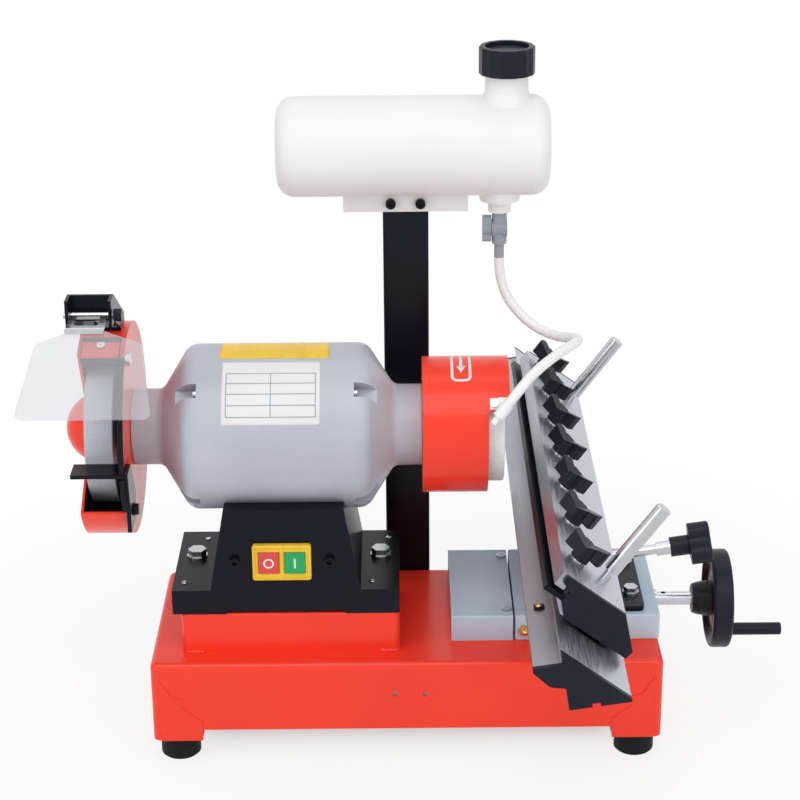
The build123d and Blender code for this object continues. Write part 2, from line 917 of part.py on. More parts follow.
# Wheels, flanges and nuts
with BuildPart() as grinding_wheel:
    with Locations(facing_right((wheel_left + wheel_right) / 2, motor_y, motor_z)):
        Cylinder(wheel_radius, wheel_width)
    chamfer(grinding_wheel.edges().filter_by(GeomType.CIRCLE), length=wheel_chamfer)
    with Locations(facing_right((wheel_left + wheel_right) / 2, motor_y, motor_z)):
        Cylinder(shaft_radius + running_fit, wheel_width, mode=Mode.SUBTRACT)
write(grinding_wheel, "grinding_wheel")

with BuildPart() as cup_wheel:
    turned(
        [
            (cup_left, shaft_radius + running_fit),
            (cup_left, cup_radius - cup_back_chamfer),
            (cup_left + 2.5 * cup_back_chamfer, cup_radius),
            (cup_face_x, cup_radius),
            (cup_face_x, cup_radius - cup_wall),
            (cup_left + cup_wall, cup_radius - cup_wall - cup_back_chamfer),
            (cup_left + cup_wall, shaft_radius + running_fit),
        ],
        [0, 2, 2, 1, 1, 3, 0],
        motor_y,
        motor_z,
    )
write(cup_wheel, "cup_wheel")

sleeve_radius = shaft_hole_radius - sleeve_play
with BuildPart() as flanges_and_nuts:
    for start, end, inner, outer in (
        (wheel_left - flange_thickness, wheel_left, shaft_radius, flange_radius),
        (wheel_right, wheel_right + flange_thickness, shaft_radius, flange_radius),
        (wheel_right + flange_thickness, left_seat - sleeve_gap, shaft_radius, sleeve_radius),
        (right_seat + sleeve_gap, cup_left - flange_thickness, shaft_radius, sleeve_radius),
        (cup_left - flange_thickness, cup_left, shaft_radius, flange_radius),
        (cup_left + cup_wall, cup_left + cup_wall + flange_thickness, shaft_radius, flange_radius),
    ):
        with Locations(facing_right((start + end) / 2, motor_y, motor_z)):
            Cylinder(outer, end - start)
            Cylinder(inner + running_fit, end - start, mode=Mode.SUBTRACT)
    for start in (wheel_left - flange_thickness - nut_height, cup_left + cup_wall + flange_thickness):
        hex_head(facing_right(start, motor_y, motor_z), nut_flats, nut_height)
        with Locations(facing_right(start, motor_y, motor_z)):
            Cylinder(shaft_radius + running_fit, nut_height, align=ON_TOP, mode=Mode.SUBTRACT)
write(flanges_and_nuts, "flanges_and_nuts")

# Guard of the grinding wheel, open at the front
guard_middle = (guard_left + guard_x) / 2
rest_y = motor_y - guard_radius
rest_notch = rest_depth + rest_in + rest_out + rest_notch_gap
guard_screws = [
    ring_screw(guard_x, guard_screw_circle, angle, -1) for angle in guard_screw_angles
]
cover_angles = (90, 180, 270)
cover_x = guard_left - guard_sheet
cover_screw_circle = guard_radius - cover_screw_inset
cover_screws = [ring_screw(cover_x, cover_screw_circle, a, -1) for a in cover_angles]
bracket_plate_top = guard_radius + clearance + sheet
bracket_screws = [
    on_rim(bracket_angle, bracket_plate_top, guard_middle + s * bracket_screw_spread) for s in (-1, 1)
]
deflector_foot_angle = deflector_angle + deflector_foot_shift
deflector_lip = guard_radius + clearance + guard_sheet
deflector_screw = on_rim(deflector_foot_angle, deflector_lip, guard_middle)
rim_screws = [*bracket_screws, deflector_screw]


def window_outline():
    """Sector of the guard that is open to the operator, drawn in Y and Z about the shaft."""
    far = 2 * guard_radius
    low = radians(180 - window_low)
    high = radians(180 - window_high)
    with BuildLine() as outline:
        Polyline(
            (0, 0),
            (far * cos(low), far * sin(low)),
            (-far, 0),
            (-far, far * sin(high)),
            (far * cos(high), far * sin(high)),
            close=True,
        )
    make_face(outline.edges())


with BuildPart() as wheel_guard:
    with Locations(facing_right(guard_left, motor_y, motor_z)):
        Cylinder(guard_radius, guard_width, align=ON_TOP)
        Cylinder(guard_radius - guard_sheet, guard_width - guard_sheet, align=ON_TOP, mode=Mode.SUBTRACT)
        Cylinder(guard_bore, guard_width, align=ON_TOP, mode=Mode.SUBTRACT)
    with BuildSketch(facing_right(guard_left, motor_y, motor_z)):
        window_outline()
    extrude(amount=guard_width - guard_sheet, mode=Mode.SUBTRACT)
    # Notch through which the tool rest reaches the wheel
    with Locations((left_neck_end, rest_y, rest_top - rest_thickness / 2)):
        Box(4 * guard_sheet, 2 * rest_notch, rest_thickness + rest_notch_gap, mode=Mode.SUBTRACT)
    # Tabs that the cover screws into
    for angle in cover_angles:
        with Locations(on_rim(angle, guard_radius - guard_sheet / 2, guard_left + cover_tab_thickness / 2)):
            Box(cover_tab_thickness, cover_tab_width, cover_tab, align=BELOW)
    # Hole for the tool rest's bolt
    with Locations(facing_right(left_neck_end, rest_bolt_y, rest_bolt_z)):
        Cylinder(m6 + running_fit, 6 * guard_sheet, mode=Mode.SUBTRACT)
    for plane in guard_screws:
        with Locations(plane):
            Cylinder(m5 + clearance, 6 * guard_sheet, mode=Mode.SUBTRACT)
    for plane in cover_screws + rim_screws:
        with Locations(plane):
            Cylinder(m4 + running_fit, through, mode=Mode.SUBTRACT)
write(wheel_guard, "wheel_guard")

# Cover of the guard: a disc with a dome over the shaft's end, open at the front like the guard
ball_radius = (dome_radius**2 + dome_height**2) / (2 * dome_height)
ball_x = cover_x - dome_height + ball_radius
inner_ball = ball_radius - guard_sheet
inner_edge = sqrt(inner_ball**2 - (ball_x - guard_left) ** 2)
arc_middle = asin(dome_radius / ball_radius) / 2
with BuildPart() as wheel_guard_cover:
    with BuildSketch(facing_front(0, motor_y, motor_z)):
        with BuildLine():
            Line((guard_left, guard_radius), (cover_x, guard_radius))
            Line((cover_x, guard_radius), (cover_x, dome_radius))
            outer_middle = (ball_x - ball_radius * cos(arc_middle), ball_radius * sin(arc_middle))
            ThreePointArc((cover_x, dome_radius), outer_middle, (cover_x - dome_height, 0))
            Line((cover_x - dome_height, 0), (cover_x - dome_height + guard_sheet, 0))
            inner_middle = (ball_x - inner_ball * cos(arc_middle), inner_ball * sin(arc_middle))
            ThreePointArc((ball_x - inner_ball, 0), inner_middle, (guard_left, inner_edge))
            Line((guard_left, inner_edge), (guard_left, guard_radius))
        make_face()
    revolve(axis=Axis((0, motor_y, motor_z), (1, 0, 0)))
    with BuildSketch(facing_right(cover_x, motor_y, motor_z)):
        window_outline()
        Circle(dome_radius + dome_margin, mode=Mode.SUBTRACT)
    extrude(amount=guard_sheet, mode=Mode.SUBTRACT)
    for plane in cover_screws:
        with Locations(plane):
            Cylinder(m4 + clearance, through, mode=Mode.SUBTRACT)
write(wheel_guard_cover, "wheel_guard_cover")

deflector_width = guard_width - 2 * guard_sheet - 1
with BuildPart() as spark_deflector:
    with Locations(on_rim(deflector_angle, wheel_radius + deflector_gap, guard_middle)):
        Box(deflector_width, guard_sheet, deflector_lip - wheel_radius - deflector_gap, align=ON_TOP)
    with Locations(on_rim(deflector_foot_angle, guard_radius + clearance, guard_middle)):
        Box(deflector_width, deflector_foot, guard_sheet, align=ON_TOP)
    with Locations(deflector_screw):
        Cylinder(m4 + clearance, through, mode=Mode.SUBTRACT)
write(spark_deflector, "spark_deflector")

# Bracket on top of the guard that carries the eye shield's hinge
bracket_y = on_rim(bracket_angle, bracket_plate_top, 0).origin.Y
bracket_z = on_rim(bracket_angle, bracket_plate_top, 0).origin.Z
bracket_x = guard_middle + bracket_shift
bracket_left = bracket_x - bracket_width / 2
bracket_right = bracket_x + bracket_width / 2
with BuildPart() as shield_bracket:
    with Locations(on_rim(bracket_angle, guard_radius + clearance, bracket_x)):
        Box(bracket_width, bracket_foot, sheet, align=ON_TOP)
    for x in (bracket_left, bracket_right - sheet):
        with BuildSketch(facing_right(x, 0, 0)):
            with BuildLine():
                Polyline(
                    (bracket_y - bracket_foot / 2, bracket_z + slide_gap),
                    (bracket_y + bracket_foot / 2, bracket_z - slide_gap),
                    (bracket_y + bracket_foot / 2, bracket_z + 2 * sheet),
                    (shield_hinge_y + hinge_wall + sheet, shield_hinge_z + hinge_ear_top),
                    (shield_hinge_y - hinge_ear, shield_hinge_z + hinge_ear_top),
                    (shield_hinge_y - hinge_ear, shield_hinge_z - hinge_ear),
                    (shield_hinge_y + hinge_ear, shield_hinge_z - hinge_ear),
                    close=True,
                )
            make_face()
        extrude(amount=sheet)
    with Locations((bracket_x, shield_hinge_y + hinge_wall, shield_hinge_z - hinge_ear)):
        Box(bracket_width, sheet, hinge_ear + hinge_ear_top, align=(Align.CENTER, Align.MIN, Align.MIN))
    with Locations(facing_right(bracket_x, shield_hinge_y, shield_hinge_z)):
        Cylinder(shield_rod_radius + running_fit, 2 * bracket_width, mode=Mode.SUBTRACT)
    for plane in bracket_screws:
        with Locations(plane):
            Cylinder(m4 + clearance, through, mode=Mode.SUBTRACT)
write(shield_bracket, "shield_bracket")

# Eye shield: a clear plate, and the clip that holds it and turns in the bracket's ears
lean = radians(shield_lean)
shield_top_y = shield_hinge_y - shield_reach
shield_top_z = shield_hinge_z - shield_drop
shield_plane = Plane(
    origin=(bracket_x, shield_top_y, shield_top_z),
    x_dir=(1, 0, 0),
    z_dir=(0, -cos(lean), sin(lean)),
)
with BuildPart() as eye_shield:
    with BuildSketch(shield_plane):
        with BuildLine():
            FilletPolyline(
                (shield_shoulder_shift - shield_shoulder_width / 2, -shield_shoulder_drop),
                (shield_top_shift - shield_top_width / 2, 0),
                (shield_top_shift + shield_top_width / 2, 0),
                (shield_shoulder_shift + shield_shoulder_width / 2, -shield_shoulder_drop),
                (shield_low_shift + shield_low_width / 2, -shield_length),
                (shield_low_shift - shield_low_width / 2, -shield_length),
                radius=shield_corner,
                close=True,
            )
        make_face()
    extrude(amount=shield_thickness)
write(eye_shield, "eye_shield")

clip_width = bracket_width - 2 * sheet - 2 * clip_play
with BuildPart() as shield_clip:
    for out in (-clip_sheet - slide_gap, shield_thickness + slide_gap):
        with Locations(shield_plane.offset(out)):
            with Locations((0, clip_sheet + slide_gap, 0)):
                Box(
                    clip_width,
                    clip_tongue,
                    clip_sheet,
                    align=(Align.CENTER, Align.MAX, Align.MIN),
                )
    with Locations(shield_plane.offset(-clip_sheet - slide_gap)):
        with Locations((0, slide_gap, 0)):
            Box(
                clip_width,
                clip_sheet,
                shield_thickness + 2 * (clip_sheet + slide_gap),
                align=(Align.CENTER, Align.MIN, Align.MIN),
            )
    with BuildSketch(facing_right(bracket_x - clip_width / 2, 0, 0)):
        with BuildLine():
            Polyline(
                (shield_hinge_y, shield_hinge_z + clip_arm / 2),
                (shield_hinge_y, shield_hinge_z - clip_arm / 2),
                (shield_top_y, shield_top_z + slide_gap),
                (shield_top_y, shield_top_z + slide_gap + clip_arm),
                close=True,
            )
        make_face()
    extrude(amount=clip_width)
    with Locations((bracket_x, (shield_hinge_y + shield_top_y) / 2, shield_hinge_z)):
        Box(clip_width - 2 * clip_bar, shield_reach - 2 * clip_bar, through, mode=Mode.SUBTRACT)
    with Locations(facing_right(bracket_x, shield_hinge_y, shield_hinge_z)):
        Cylinder(shield_rod_radius, bracket_width + 2 * sheet)
write(shield_clip, "shield_clip")

# Tool rest with a slotted arm on the inner side of the guard
arm_left = left_neck_end + slide_gap
arm_front = rest_bolt_y - arm_reach_front
arm_back = rest_bolt_y + arm_reach_back
arm_bottom = rest_bolt_z - arm_below_bolt
with BuildPart() as tool_rest:
    plate_back = motor_y - wheel_radius - rest_in
    plate_left = arm_left + rest_thickness - rest_width - rest_overhang
    with BuildSketch(Plane((0, 0, rest_top))):
        with Locations((plate_left, plate_back)):
            Rectangle(arm_left + rest_thickness - plate_left, rest_depth, align=(Align.MIN, Align.MAX))
    extrude(amount=-rest_thickness)
    with BuildSketch(facing_right(arm_left, 0, 0)):
        with BuildLine():
            Polyline(
                (plate_back, rest_top),
                (plate_back - rest_depth, rest_top),
                (arm_front, rest_bolt_z + arm_shoulder_front),
                (arm_front, arm_bottom),
                (arm_back, arm_bottom),
                (arm_back, rest_bolt_z + arm_shoulder_back),
                close=True,
            )
        make_face()
        with Locations((rest_bolt_y + (rest_out - rest_in) / 2, rest_bolt_z)):
            SlotCenterToCenter(rest_out + rest_in, rest_slot, mode=Mode.SUBTRACT)
    extrude(amount=rest_thickness)
write(tool_rest, "tool_rest")

# Guard of the cup wheel, open to the right and cut back at the lower front
cup_guard_length = cup_guard_end - right_neck_end
cup_cut_x = cup_guard_end - cup_guard_cutback
cup_screws = [
    ring_screw(right_neck_end + guard_sheet, guard_screw_circle, angle, 1) for angle in guard_screw_angles
]
nozzle_place = on_rim(nozzle_angle, cup_guard_radius + slide_gap, nozzle_x)
nozzle_seat = cup_guard_radius + slide_gap + nozzle_shelf
nozzle_screw = on_rim(nozzle_angle, nozzle_seat, nozzle_x - nozzle_screw_shift)
with BuildPart() as cup_guard:
    with Locations(facing_right(right_neck_end, motor_y, motor_z)):
        Cylinder(cup_guard_radius, cup_guard_length, align=ON_TOP)
    with Locations(facing_right(right_neck_end + guard_sheet, motor_y, motor_z)):
        Cylinder(cup_guard_radius - guard_sheet, cup_guard_length, align=ON_TOP, mode=Mode.SUBTRACT)
    with Locations(facing_right(right_neck_end, motor_y, motor_z)):
        Cylinder(guard_bore, cup_guard_length, mode=Mode.SUBTRACT)
    half = cup_guard_radius + sheet
    with Locations((cup_cut_x, motor_y, motor_z + cup_cut_front)):
        Box(2 * half, half, 3 * half, align=(Align.MIN, Align.MAX, Align.MAX), mode=Mode.SUBTRACT)
    with Locations((cup_cut_x, motor_y, motor_z + cup_cut_back)):
        Box(2 * half, half, 3 * half, align=(Align.MIN, Align.MIN, Align.MAX), mode=Mode.SUBTRACT)
    for plane in cup_screws:
        with Locations(plane):
            Cylinder(m5 + clearance, through, mode=Mode.SUBTRACT)
    with Locations(nozzle_screw):
        Cylinder(m4 + running_fit, through, mode=Mode.SUBTRACT)
write(cup_guard, "cup_guard")

# Coolant hose, hung from the valve to the nozzle
hose_points = [
    (outlet_x, tank_y, barb_bottom),
    (outlet_x, tank_y, 437),
    (110, 77.5, 404),
    (141, 54.5, 392),
    (168, 14.5, 406),
    (143, -30.5, 410),
    (115, -55.5, 398),
    (98, -70.5, 383),
    (88.5, -74.5, 371.5),
]


def bend_radii(points):
    """Bend radius at each inner point, as wide as the two runs beside it allow."""
    radii = []
    for before, here, after in zip(points, points[1:], points[2:]):
        p = Vector(*here) - Vector(*before)
        q = Vector(*after) - Vector(*here)
        half_turn = radians(p.get_angle(q)) / 2
        radii.append(0.45 * min(p.length, q.length) / tan(half_turn))
    return radii


with BuildPart() as coolant_hose:
    with BuildLine() as hose_path:
        FilletPolyline(*hose_points, radius=bend_radii(hose_points))
    with BuildSketch(Plane(origin=hose_points[0], z_dir=(0, 0, -1))):
        Circle(hose_radius)
    sweep(path=hose_path.wires()[0])
write(coolant_hose, "coolant_hose")
hose_length = hose_path.wires()[0].length
hose_volume = pi * hose_radius**2 * hose_length
print("hose bend radii", [round(r, 1) for r in bend_radii(hose_points)])
print("hose length", round(hose_length, 1), "volume ratio", round(coolant_hose.part.volume / hose_volume, 4))

# Nozzle at the hose's end, with a foot on the cup guard
hose_end = Vector(*hose_points[-1])
hose_aim = (hose_end - Vector(*hose_points[-2])).normalized()
with BuildPart() as coolant_nozzle:
    with Locations(nozzle_place):
        Box(nozzle_foot, nozzle_foot_depth, nozzle_foot_height, align=ON_TOP)
    with Locations(nozzle_place.offset(nozzle_shelf)):
        with Locations((-nozzle_foot / 4, 0, 0)):
            Box(nozzle_foot / 2, nozzle_foot_depth, through, align=ON_TOP, mode=Mode.SUBTRACT)
    with Locations(nozzle_screw):
        Cylinder(m4 + clearance, through, mode=Mode.SUBTRACT)
    with Locations(Plane(origin=hose_end, z_dir=hose_aim)):
        Cylinder(hose_radius + nozzle_wall, nozzle_socket, align=ON_TOP)
        Cylinder(nozzle_tip_radius, nozzle_length, align=ON_TOP)
    with Locations(facing_right(right_neck_end, motor_y, motor_z)):
        Cylinder(cup_guard_radius + slide_gap, cup_guard_length, align=ON_TOP, mode=Mode.SUBTRACT)
write(coolant_nozzle, "coolant_nozzle")

# Tank post: a channel bolted to the back of the base
tank_screw_z = tab_bottom + tab_screw_height
with BuildPart() as tank_post:
    with Locations((bolt_hole_x, post_front, post_bottom)):
        Box(
            post_width,
            post_depth,
            post_top - post_bottom,
            align=(Align.CENTER, Align.MIN, Align.MIN),
        )
    fillet(tank_post.edges().filter_by(Axis.Z).group_by(Axis.Y)[0], radius=sheet)
    with Locations((bolt_hole_x, post_front + sheet, post_bottom)):
        Box(
            post_width - 2 * sheet,
            post_depth,
            post_top - post_bottom,
            align=(Align.CENTER, Align.MIN, Align.MIN),
            mode=Mode.SUBTRACT,
        )
    for xs, z in ((post_bolt_xs, bolt_hole_z), (bolt_xs, tank_screw_z)):
        with Locations(*[facing_front(x, post_front, z) for x in xs]):
            Cylinder(m6 + clearance, 4 * sheet, mode=Mode.SUBTRACT)
write(tank_post, "tank_post")

# Tank: moulded and hollow, with a filler neck, an outlet and a mounting tab
with BuildPart() as tank_hollow:
    with Locations(facing_right(tank_x, tank_y, tank_z)):
        Cylinder(tank_radius - tank_wall, tank_length - 2 * tank_wall)
    fillet(tank_hollow.edges().filter_by(GeomType.CIRCLE), radius=tank_end_round - tank_wall)
    with Locations((neck_x, tank_y, tank_z)):
        Cylinder(neck_radius - tank_wall, neck_top - tank_z, align=ON_TOP)
    with Locations((outlet_x, tank_y, spigot_bottom)):
        Cylinder(outlet_bore, tank_z - spigot_bottom, align=ON_TOP)

with BuildPart() as coolant_tank:
    with Locations(facing_right(tank_x, tank_y, tank_z)):
        Cylinder(tank_radius, tank_length)
    fillet(coolant_tank.edges().filter_by(GeomType.CIRCLE), radius=tank_end_round)
    with Locations((neck_x, tank_y, tank_z)):
        Cylinder(neck_radius, neck_top - tank_z, align=ON_TOP)
        Cone(neck_radius + neck_flare, neck_radius, tank_radius + neck_flare_rise, align=ON_TOP)
    with Locations((outlet_x, tank_y, spigot_bottom)):
        Cylinder(spigot_radius, spigot_height, align=ON_TOP)
    with Locations((outlet_x, tank_y, spigot_bottom + outlet_cone_rise)):
        Cone(outlet_cone_low, outlet_cone_high, spigot_height, align=ON_TOP)
    with Locations((bolt_hole_x, tank_y, tab_bottom)):
        Box(
            tab_length,
            tab_thickness,
            tank_z - tank_radius - tab_bottom + tab_overlap,
            align=(Align.CENTER, Align.MIN, Align.MIN),
        )
    add(tank_hollow.part, mode=Mode.SUBTRACT)
    for x in bolt_xs:
        with Locations(facing_front(x, tank_y, tank_screw_z)):
            Cylinder(m6 + clearance, 4 * tab_thickness, mode=Mode.SUBTRACT)
write(coolant_tank, "coolant_tank")

with BuildPart() as tank_cap:
    with BuildSketch(Plane((neck_x, tank_y, cap_bottom))):
        RegularPolygon(cap_radius, cap_flutes)
    extrude(amount=cap_height)
    chamfer(tank_cap.faces().sort_by(Axis.Z)[-1].edges(), length=cap_chamfer)
    with Locations((neck_x, tank_y, cap_bottom)):
        Cylinder(neck_radius + clearance + slide_gap, neck_top - cap_bottom, align=ON_TOP, mode=Mode.SUBTRACT)
    with Locations((neck_x, tank_y, cap_bottom + cap_height)):
        Cylinder(cap_radius - cap_rim, cap_recess, align=BELOW, mode=Mode.SUBTRACT)
write(tank_cap, "tank_cap")

# Valve under the tank, with a lever that turns about X
lever_x = outlet_x - valve_barrel_radius - lever_gap
valve_left = outlet_x - valve_reach
valve_bore_depth = stem_length - lever_gap + valve_stem_play
with BuildPart() as valve_body:
    with Locations((outlet_x, tank_y, barb_bottom)):
        Cylinder(hose_radius, spigot_bottom - barb_bottom, align=ON_TOP)
    with Locations((outlet_x, tank_y, barb_bottom + valve_sleeve)):
        Cylinder(valve_tube_radius, spigot_bottom - barb_bottom - valve_sleeve, align=ON_TOP)
    with Locations(facing_right(outlet_x, tank_y, valve_z)):
        Cylinder(valve_barrel_radius, 2 * valve_reach)
    with Locations(facing_right(valve_left, tank_y, valve_z)):
        Cylinder(stem_radius + running_fit, valve_bore_depth, align=ON_TOP, mode=Mode.SUBTRACT)
write(valve_body, "valve_body")

with BuildPart() as valve_lever:
    with Locations(facing_right(lever_x, tank_y, valve_z)):
        Cylinder(stem_radius, stem_length, align=ON_TOP)
    with BuildSketch(facing_right(lever_x - lever_thickness / 4, tank_y, valve_z)):
        Circle(lever_boss)
        RectangleRounded(lever_width, lever_length, stem_radius)
    extrude(amount=lever_thickness)
write(valve_lever, "valve_lever")

# Cross slide: bed with a dovetail way
cover_front = slide_y - slide_width / 2
cover_back = slide_y + slide_width / 2
cover_right = cover_left + cover_length
cover_post_x = cover_right - cover_post_radius
post_places = [(cover_post_x, cover_back - cover_post_back), (cover_post_x, cover_front + cover_post_front)]


def way_outline(front, back, low, high):
    """Dovetail drawn in Y and Z, its two flanks moved out by front and back."""
    with BuildLine() as outline:
        Polyline(
            (slide_y - dovetail_foot - front, low),
            (slide_y + dovetail_foot + back, low),
            (slide_y + dovetail_top + back, high),
            (slide_y - dovetail_top - front, high),
            close=True,
        )
    make_face(outline.edges())


way_left = cover_right + way_gap
bed_left = cover_left + cover_sheet + cover_play
bed_depth = 2 * (dovetail_foot + bed_lip)
channel_bottom = bed_top - feed_channel_depth
tunnel_top = slide_top - tunnel_roof
with BuildPart() as slide_bed:
    with Locations((bed_left, slide_y, base_top)):
        Box(
            cover_right - bed_left,
            slide_width - 2 * (cover_sheet + cover_play),
            bed_plate,
            align=(Align.MIN, Align.CENTER, Align.MIN),
        )
        Box(
            bed_right - bed_left,
            bed_depth,
            bed_plate,
            align=(Align.MIN, Align.CENTER, Align.MIN),
        )
    with BuildSketch(facing_right(way_left, 0, 0)):
        way_outline(0, 0, bed_top, way_top)
    extrude(amount=bed_right - way_left)
    with Locations((way_left, feed_y, channel_bottom)):
        Box(
            bed_right - way_left,
            feed_channel,
            way_top - channel_bottom,
            align=(Align.MIN, Align.CENTER, Align.MIN),
            mode=Mode.SUBTRACT,
        )
    with Locations(*[(x, y, bed_top) for x, y in post_places]):
        Cylinder(cover_post_radius, slide_top - cover_sheet - bed_top, align=ON_TOP)
        Cylinder(m5 + running_fit, slide_top, mode=Mode.SUBTRACT)
write(slide_bed, "slide_bed")

with BuildPart() as slide_cover:
    with Locations((cover_left, slide_y, base_top)):
        Box(
            cover_length,
            slide_width,
            slide_top - base_top,
            align=(Align.MIN, Align.CENTER, Align.MIN),
        )
    fillet(slide_cover.edges().filter_by(Axis.X).group_by(Axis.Z)[-1], radius=cover_sheet)
    with Locations((cover_left + cover_sheet, slide_y, base_top)):
        Box(
            cover_length,
            slide_width - 2 * cover_sheet,
            slide_top - base_top - cover_sheet,
            align=(Align.MIN, Align.CENTER, Align.MIN),
            mode=Mode.SUBTRACT,
        )
    with Locations(*[(x, y, slide_top) for x, y in post_places]):
        Cylinder(m5 + clearance, 4 * sheet, mode=Mode.SUBTRACT)
write(slide_cover, "slide_cover")

nut_left = saddle_left + feed_nut_inset
with BuildPart() as feed_nut:
    with Locations((nut_left, feed_y, channel_bottom)):
        Box(
            feed_nut_length,
            feed_channel - 2 * slide_gap,
            tunnel_top - 1 - channel_bottom,
            align=(Align.MIN, Align.CENTER, Align.MIN),
        )
    with Locations(facing_right(nut_left, feed_y, feed_z)):
        Cylinder(feed_radius + running_fit, 4 * feed_nut_length, mode=Mode.SUBTRACT)
write(feed_nut, "feed_nut")

# Saddle that rides on the way, with a gib on the front flank
channel_end = saddle_right - saddle_end_wall
bracket_bolt_places = [(x, y) for x in bracket_bolt_xs for y in bracket_bolt_ys]
with BuildPart() as saddle:
    with Locations((saddle_left, slide_y, base_top + saddle_lift)):
        Box(
            saddle_length,
            slide_width,
            slide_top - base_top - saddle_lift,
            align=(Align.MIN, Align.CENTER, Align.MIN),
        )
    fillet(saddle.edges().filter_by(Axis.Z), radius=saddle_corner)
    chamfer(saddle.faces().sort_by(Axis.Z)[-1].edges(), length=saddle_chamfer)
    with Locations((saddle_left, slide_y, base_top)):
        Box(
            channel_end - saddle_left,
            bed_depth + 2 * cover_play,
            bed_plate + clearance,
            align=(Align.MIN, Align.CENTER, Align.MIN),
            mode=Mode.SUBTRACT,
        )
    with BuildSketch(facing_right(saddle_left, 0, 0)):
        way_outline(gib_thickness + clearance, clearance, bed_top, way_top + slide_gap)
    extrude(amount=channel_end - saddle_left, mode=Mode.SUBTRACT)
    with Locations((saddle_left, feed_y, way_top)):
        Box(
            channel_end - saddle_left,
            tunnel_width,
            tunnel_top - way_top,
            align=(Align.MIN, Align.CENTER, Align.MIN),
            mode=Mode.SUBTRACT,
        )
    with Locations(facing_right(saddle_right, feed_y, feed_z)):
        Cylinder(feed_radius + running_fit, 4 * saddle_end_wall, mode=Mode.SUBTRACT)
    with Locations(*[(x, y, slide_top) for x, y in bracket_bolt_places]):
        Cylinder(m8 + running_fit, 2 * (bracket_bolt_depth + 1), mode=Mode.SUBTRACT)
write(saddle, "saddle")

flank = (dovetail_top - dovetail_foot) / dovetail_height
with BuildPart() as slide_gib:
    with BuildSketch(facing_right(saddle_left + slide_gap, 0, 0)):
        low = bed_top + clearance + slide_gap
        high = way_top - slide_gap
        low_edge = slide_y - dovetail_foot - flank * (low - bed_top) - slide_gap
        high_edge = slide_y - dovetail_foot - flank * (high - bed_top) - slide_gap
        with BuildLine():
            Polyline(
                (low_edge, low),
                (high_edge, high),
                (high_edge - gib_thickness, high),
                (low_edge - gib_thickness, low),
                close=True,
            )
        make_face()
    extrude(amount=channel_end - saddle_left - 2 * slide_gap)
write(slide_gib, "slide_gib")

inner_collar = channel_end - slide_gap
outer_collar = saddle_right + slide_gap
with BuildPart() as feed_screw:
    turned(
        [
            (nut_left - feed_overrun, 0),
            (nut_left - feed_overrun, feed_radius),
            (inner_collar - feed_collar, feed_radius),
            (inner_collar - feed_collar, feed_radius + feed_collar_step),
            (inner_collar, feed_radius + feed_collar_step),
            (inner_collar, feed_radius),
            (outer_collar, feed_radius),
            (outer_collar, feed_radius + feed_collar_step),
            (outer_collar + feed_collar, feed_radius + feed_collar_step),
            (outer_collar + feed_collar, feed_radius),
            (handwheel_x + feed_tail, feed_radius),
            (handwheel_x + feed_tail, 0),
        ],
        0,
        feed_y,
        feed_z,
    )
    with Locations((saddle_right + feed_cross_hole_x, feed_y, feed_z)):
        Cylinder(feed_cross_hole, 4 * feed_radius, mode=Mode.SUBTRACT)
write(feed_screw, "feed_screw")

# Handwheel with its crank pin, and the grip that turns on the pin
rim_left = handwheel_x + hub_length
rim_right = rim_left + handwheel_rim
web_left = rim_left + web_inset
rim_inner = handwheel_radius - rim_thickness
crank_z = feed_z - crank_offset
with BuildPart() as handwheel:
    turned(
        [
            (handwheel_x, feed_radius + running_fit),
            (handwheel_x, hub_radius - hub_taper),
            (handwheel_x + web_thickness, hub_radius),
            (web_left - hub_taper, hub_radius + hub_taper),
            (web_left + hub_taper, rim_inner - web_thickness),
            (rim_left, rim_inner),
            (rim_left, handwheel_radius),
            (rim_right, handwheel_radius),
            (rim_right, rim_inner),
            (web_left + 2 * web_thickness, rim_inner - web_inset),
            (web_left + web_thickness + hub_taper, hub_radius + hub_taper),
            (web_left + web_thickness + hub_taper, feed_radius + running_fit),
        ],
        [0, 1, 1, 2, 1.5, 1, 4, 4, 1.5, 2, 1, 0],
        feed_y,
        feed_z,
    )
    with Locations(facing_right(web_left + hub_taper, feed_y, crank_z)):
        Cylinder(crank_boss_radius, crank_boss, align=ON_TOP)
        Cylinder(crank_pin_radius, rim_right - web_left + grip_length - 2 * grip_end, align=ON_TOP)
write(handwheel, "handwheel")

grip_left = rim_right + grip_gap
with BuildPart() as crank_grip:
    with Locations(facing_right(grip_left, feed_y, crank_z)):
        Cylinder(grip_radius, grip_length, align=ON_TOP)
    fillet(crank_grip.edges().filter_by(GeomType.CIRCLE), radius=grip_round)
    with Locations(facing_right(grip_left, feed_y, crank_z)):
        Cylinder(crank_pin_radius + running_fit, grip_length - grip_end, align=ON_TOP, mode=Mode.SUBTRACT)
write(crank_grip, "crank_grip")

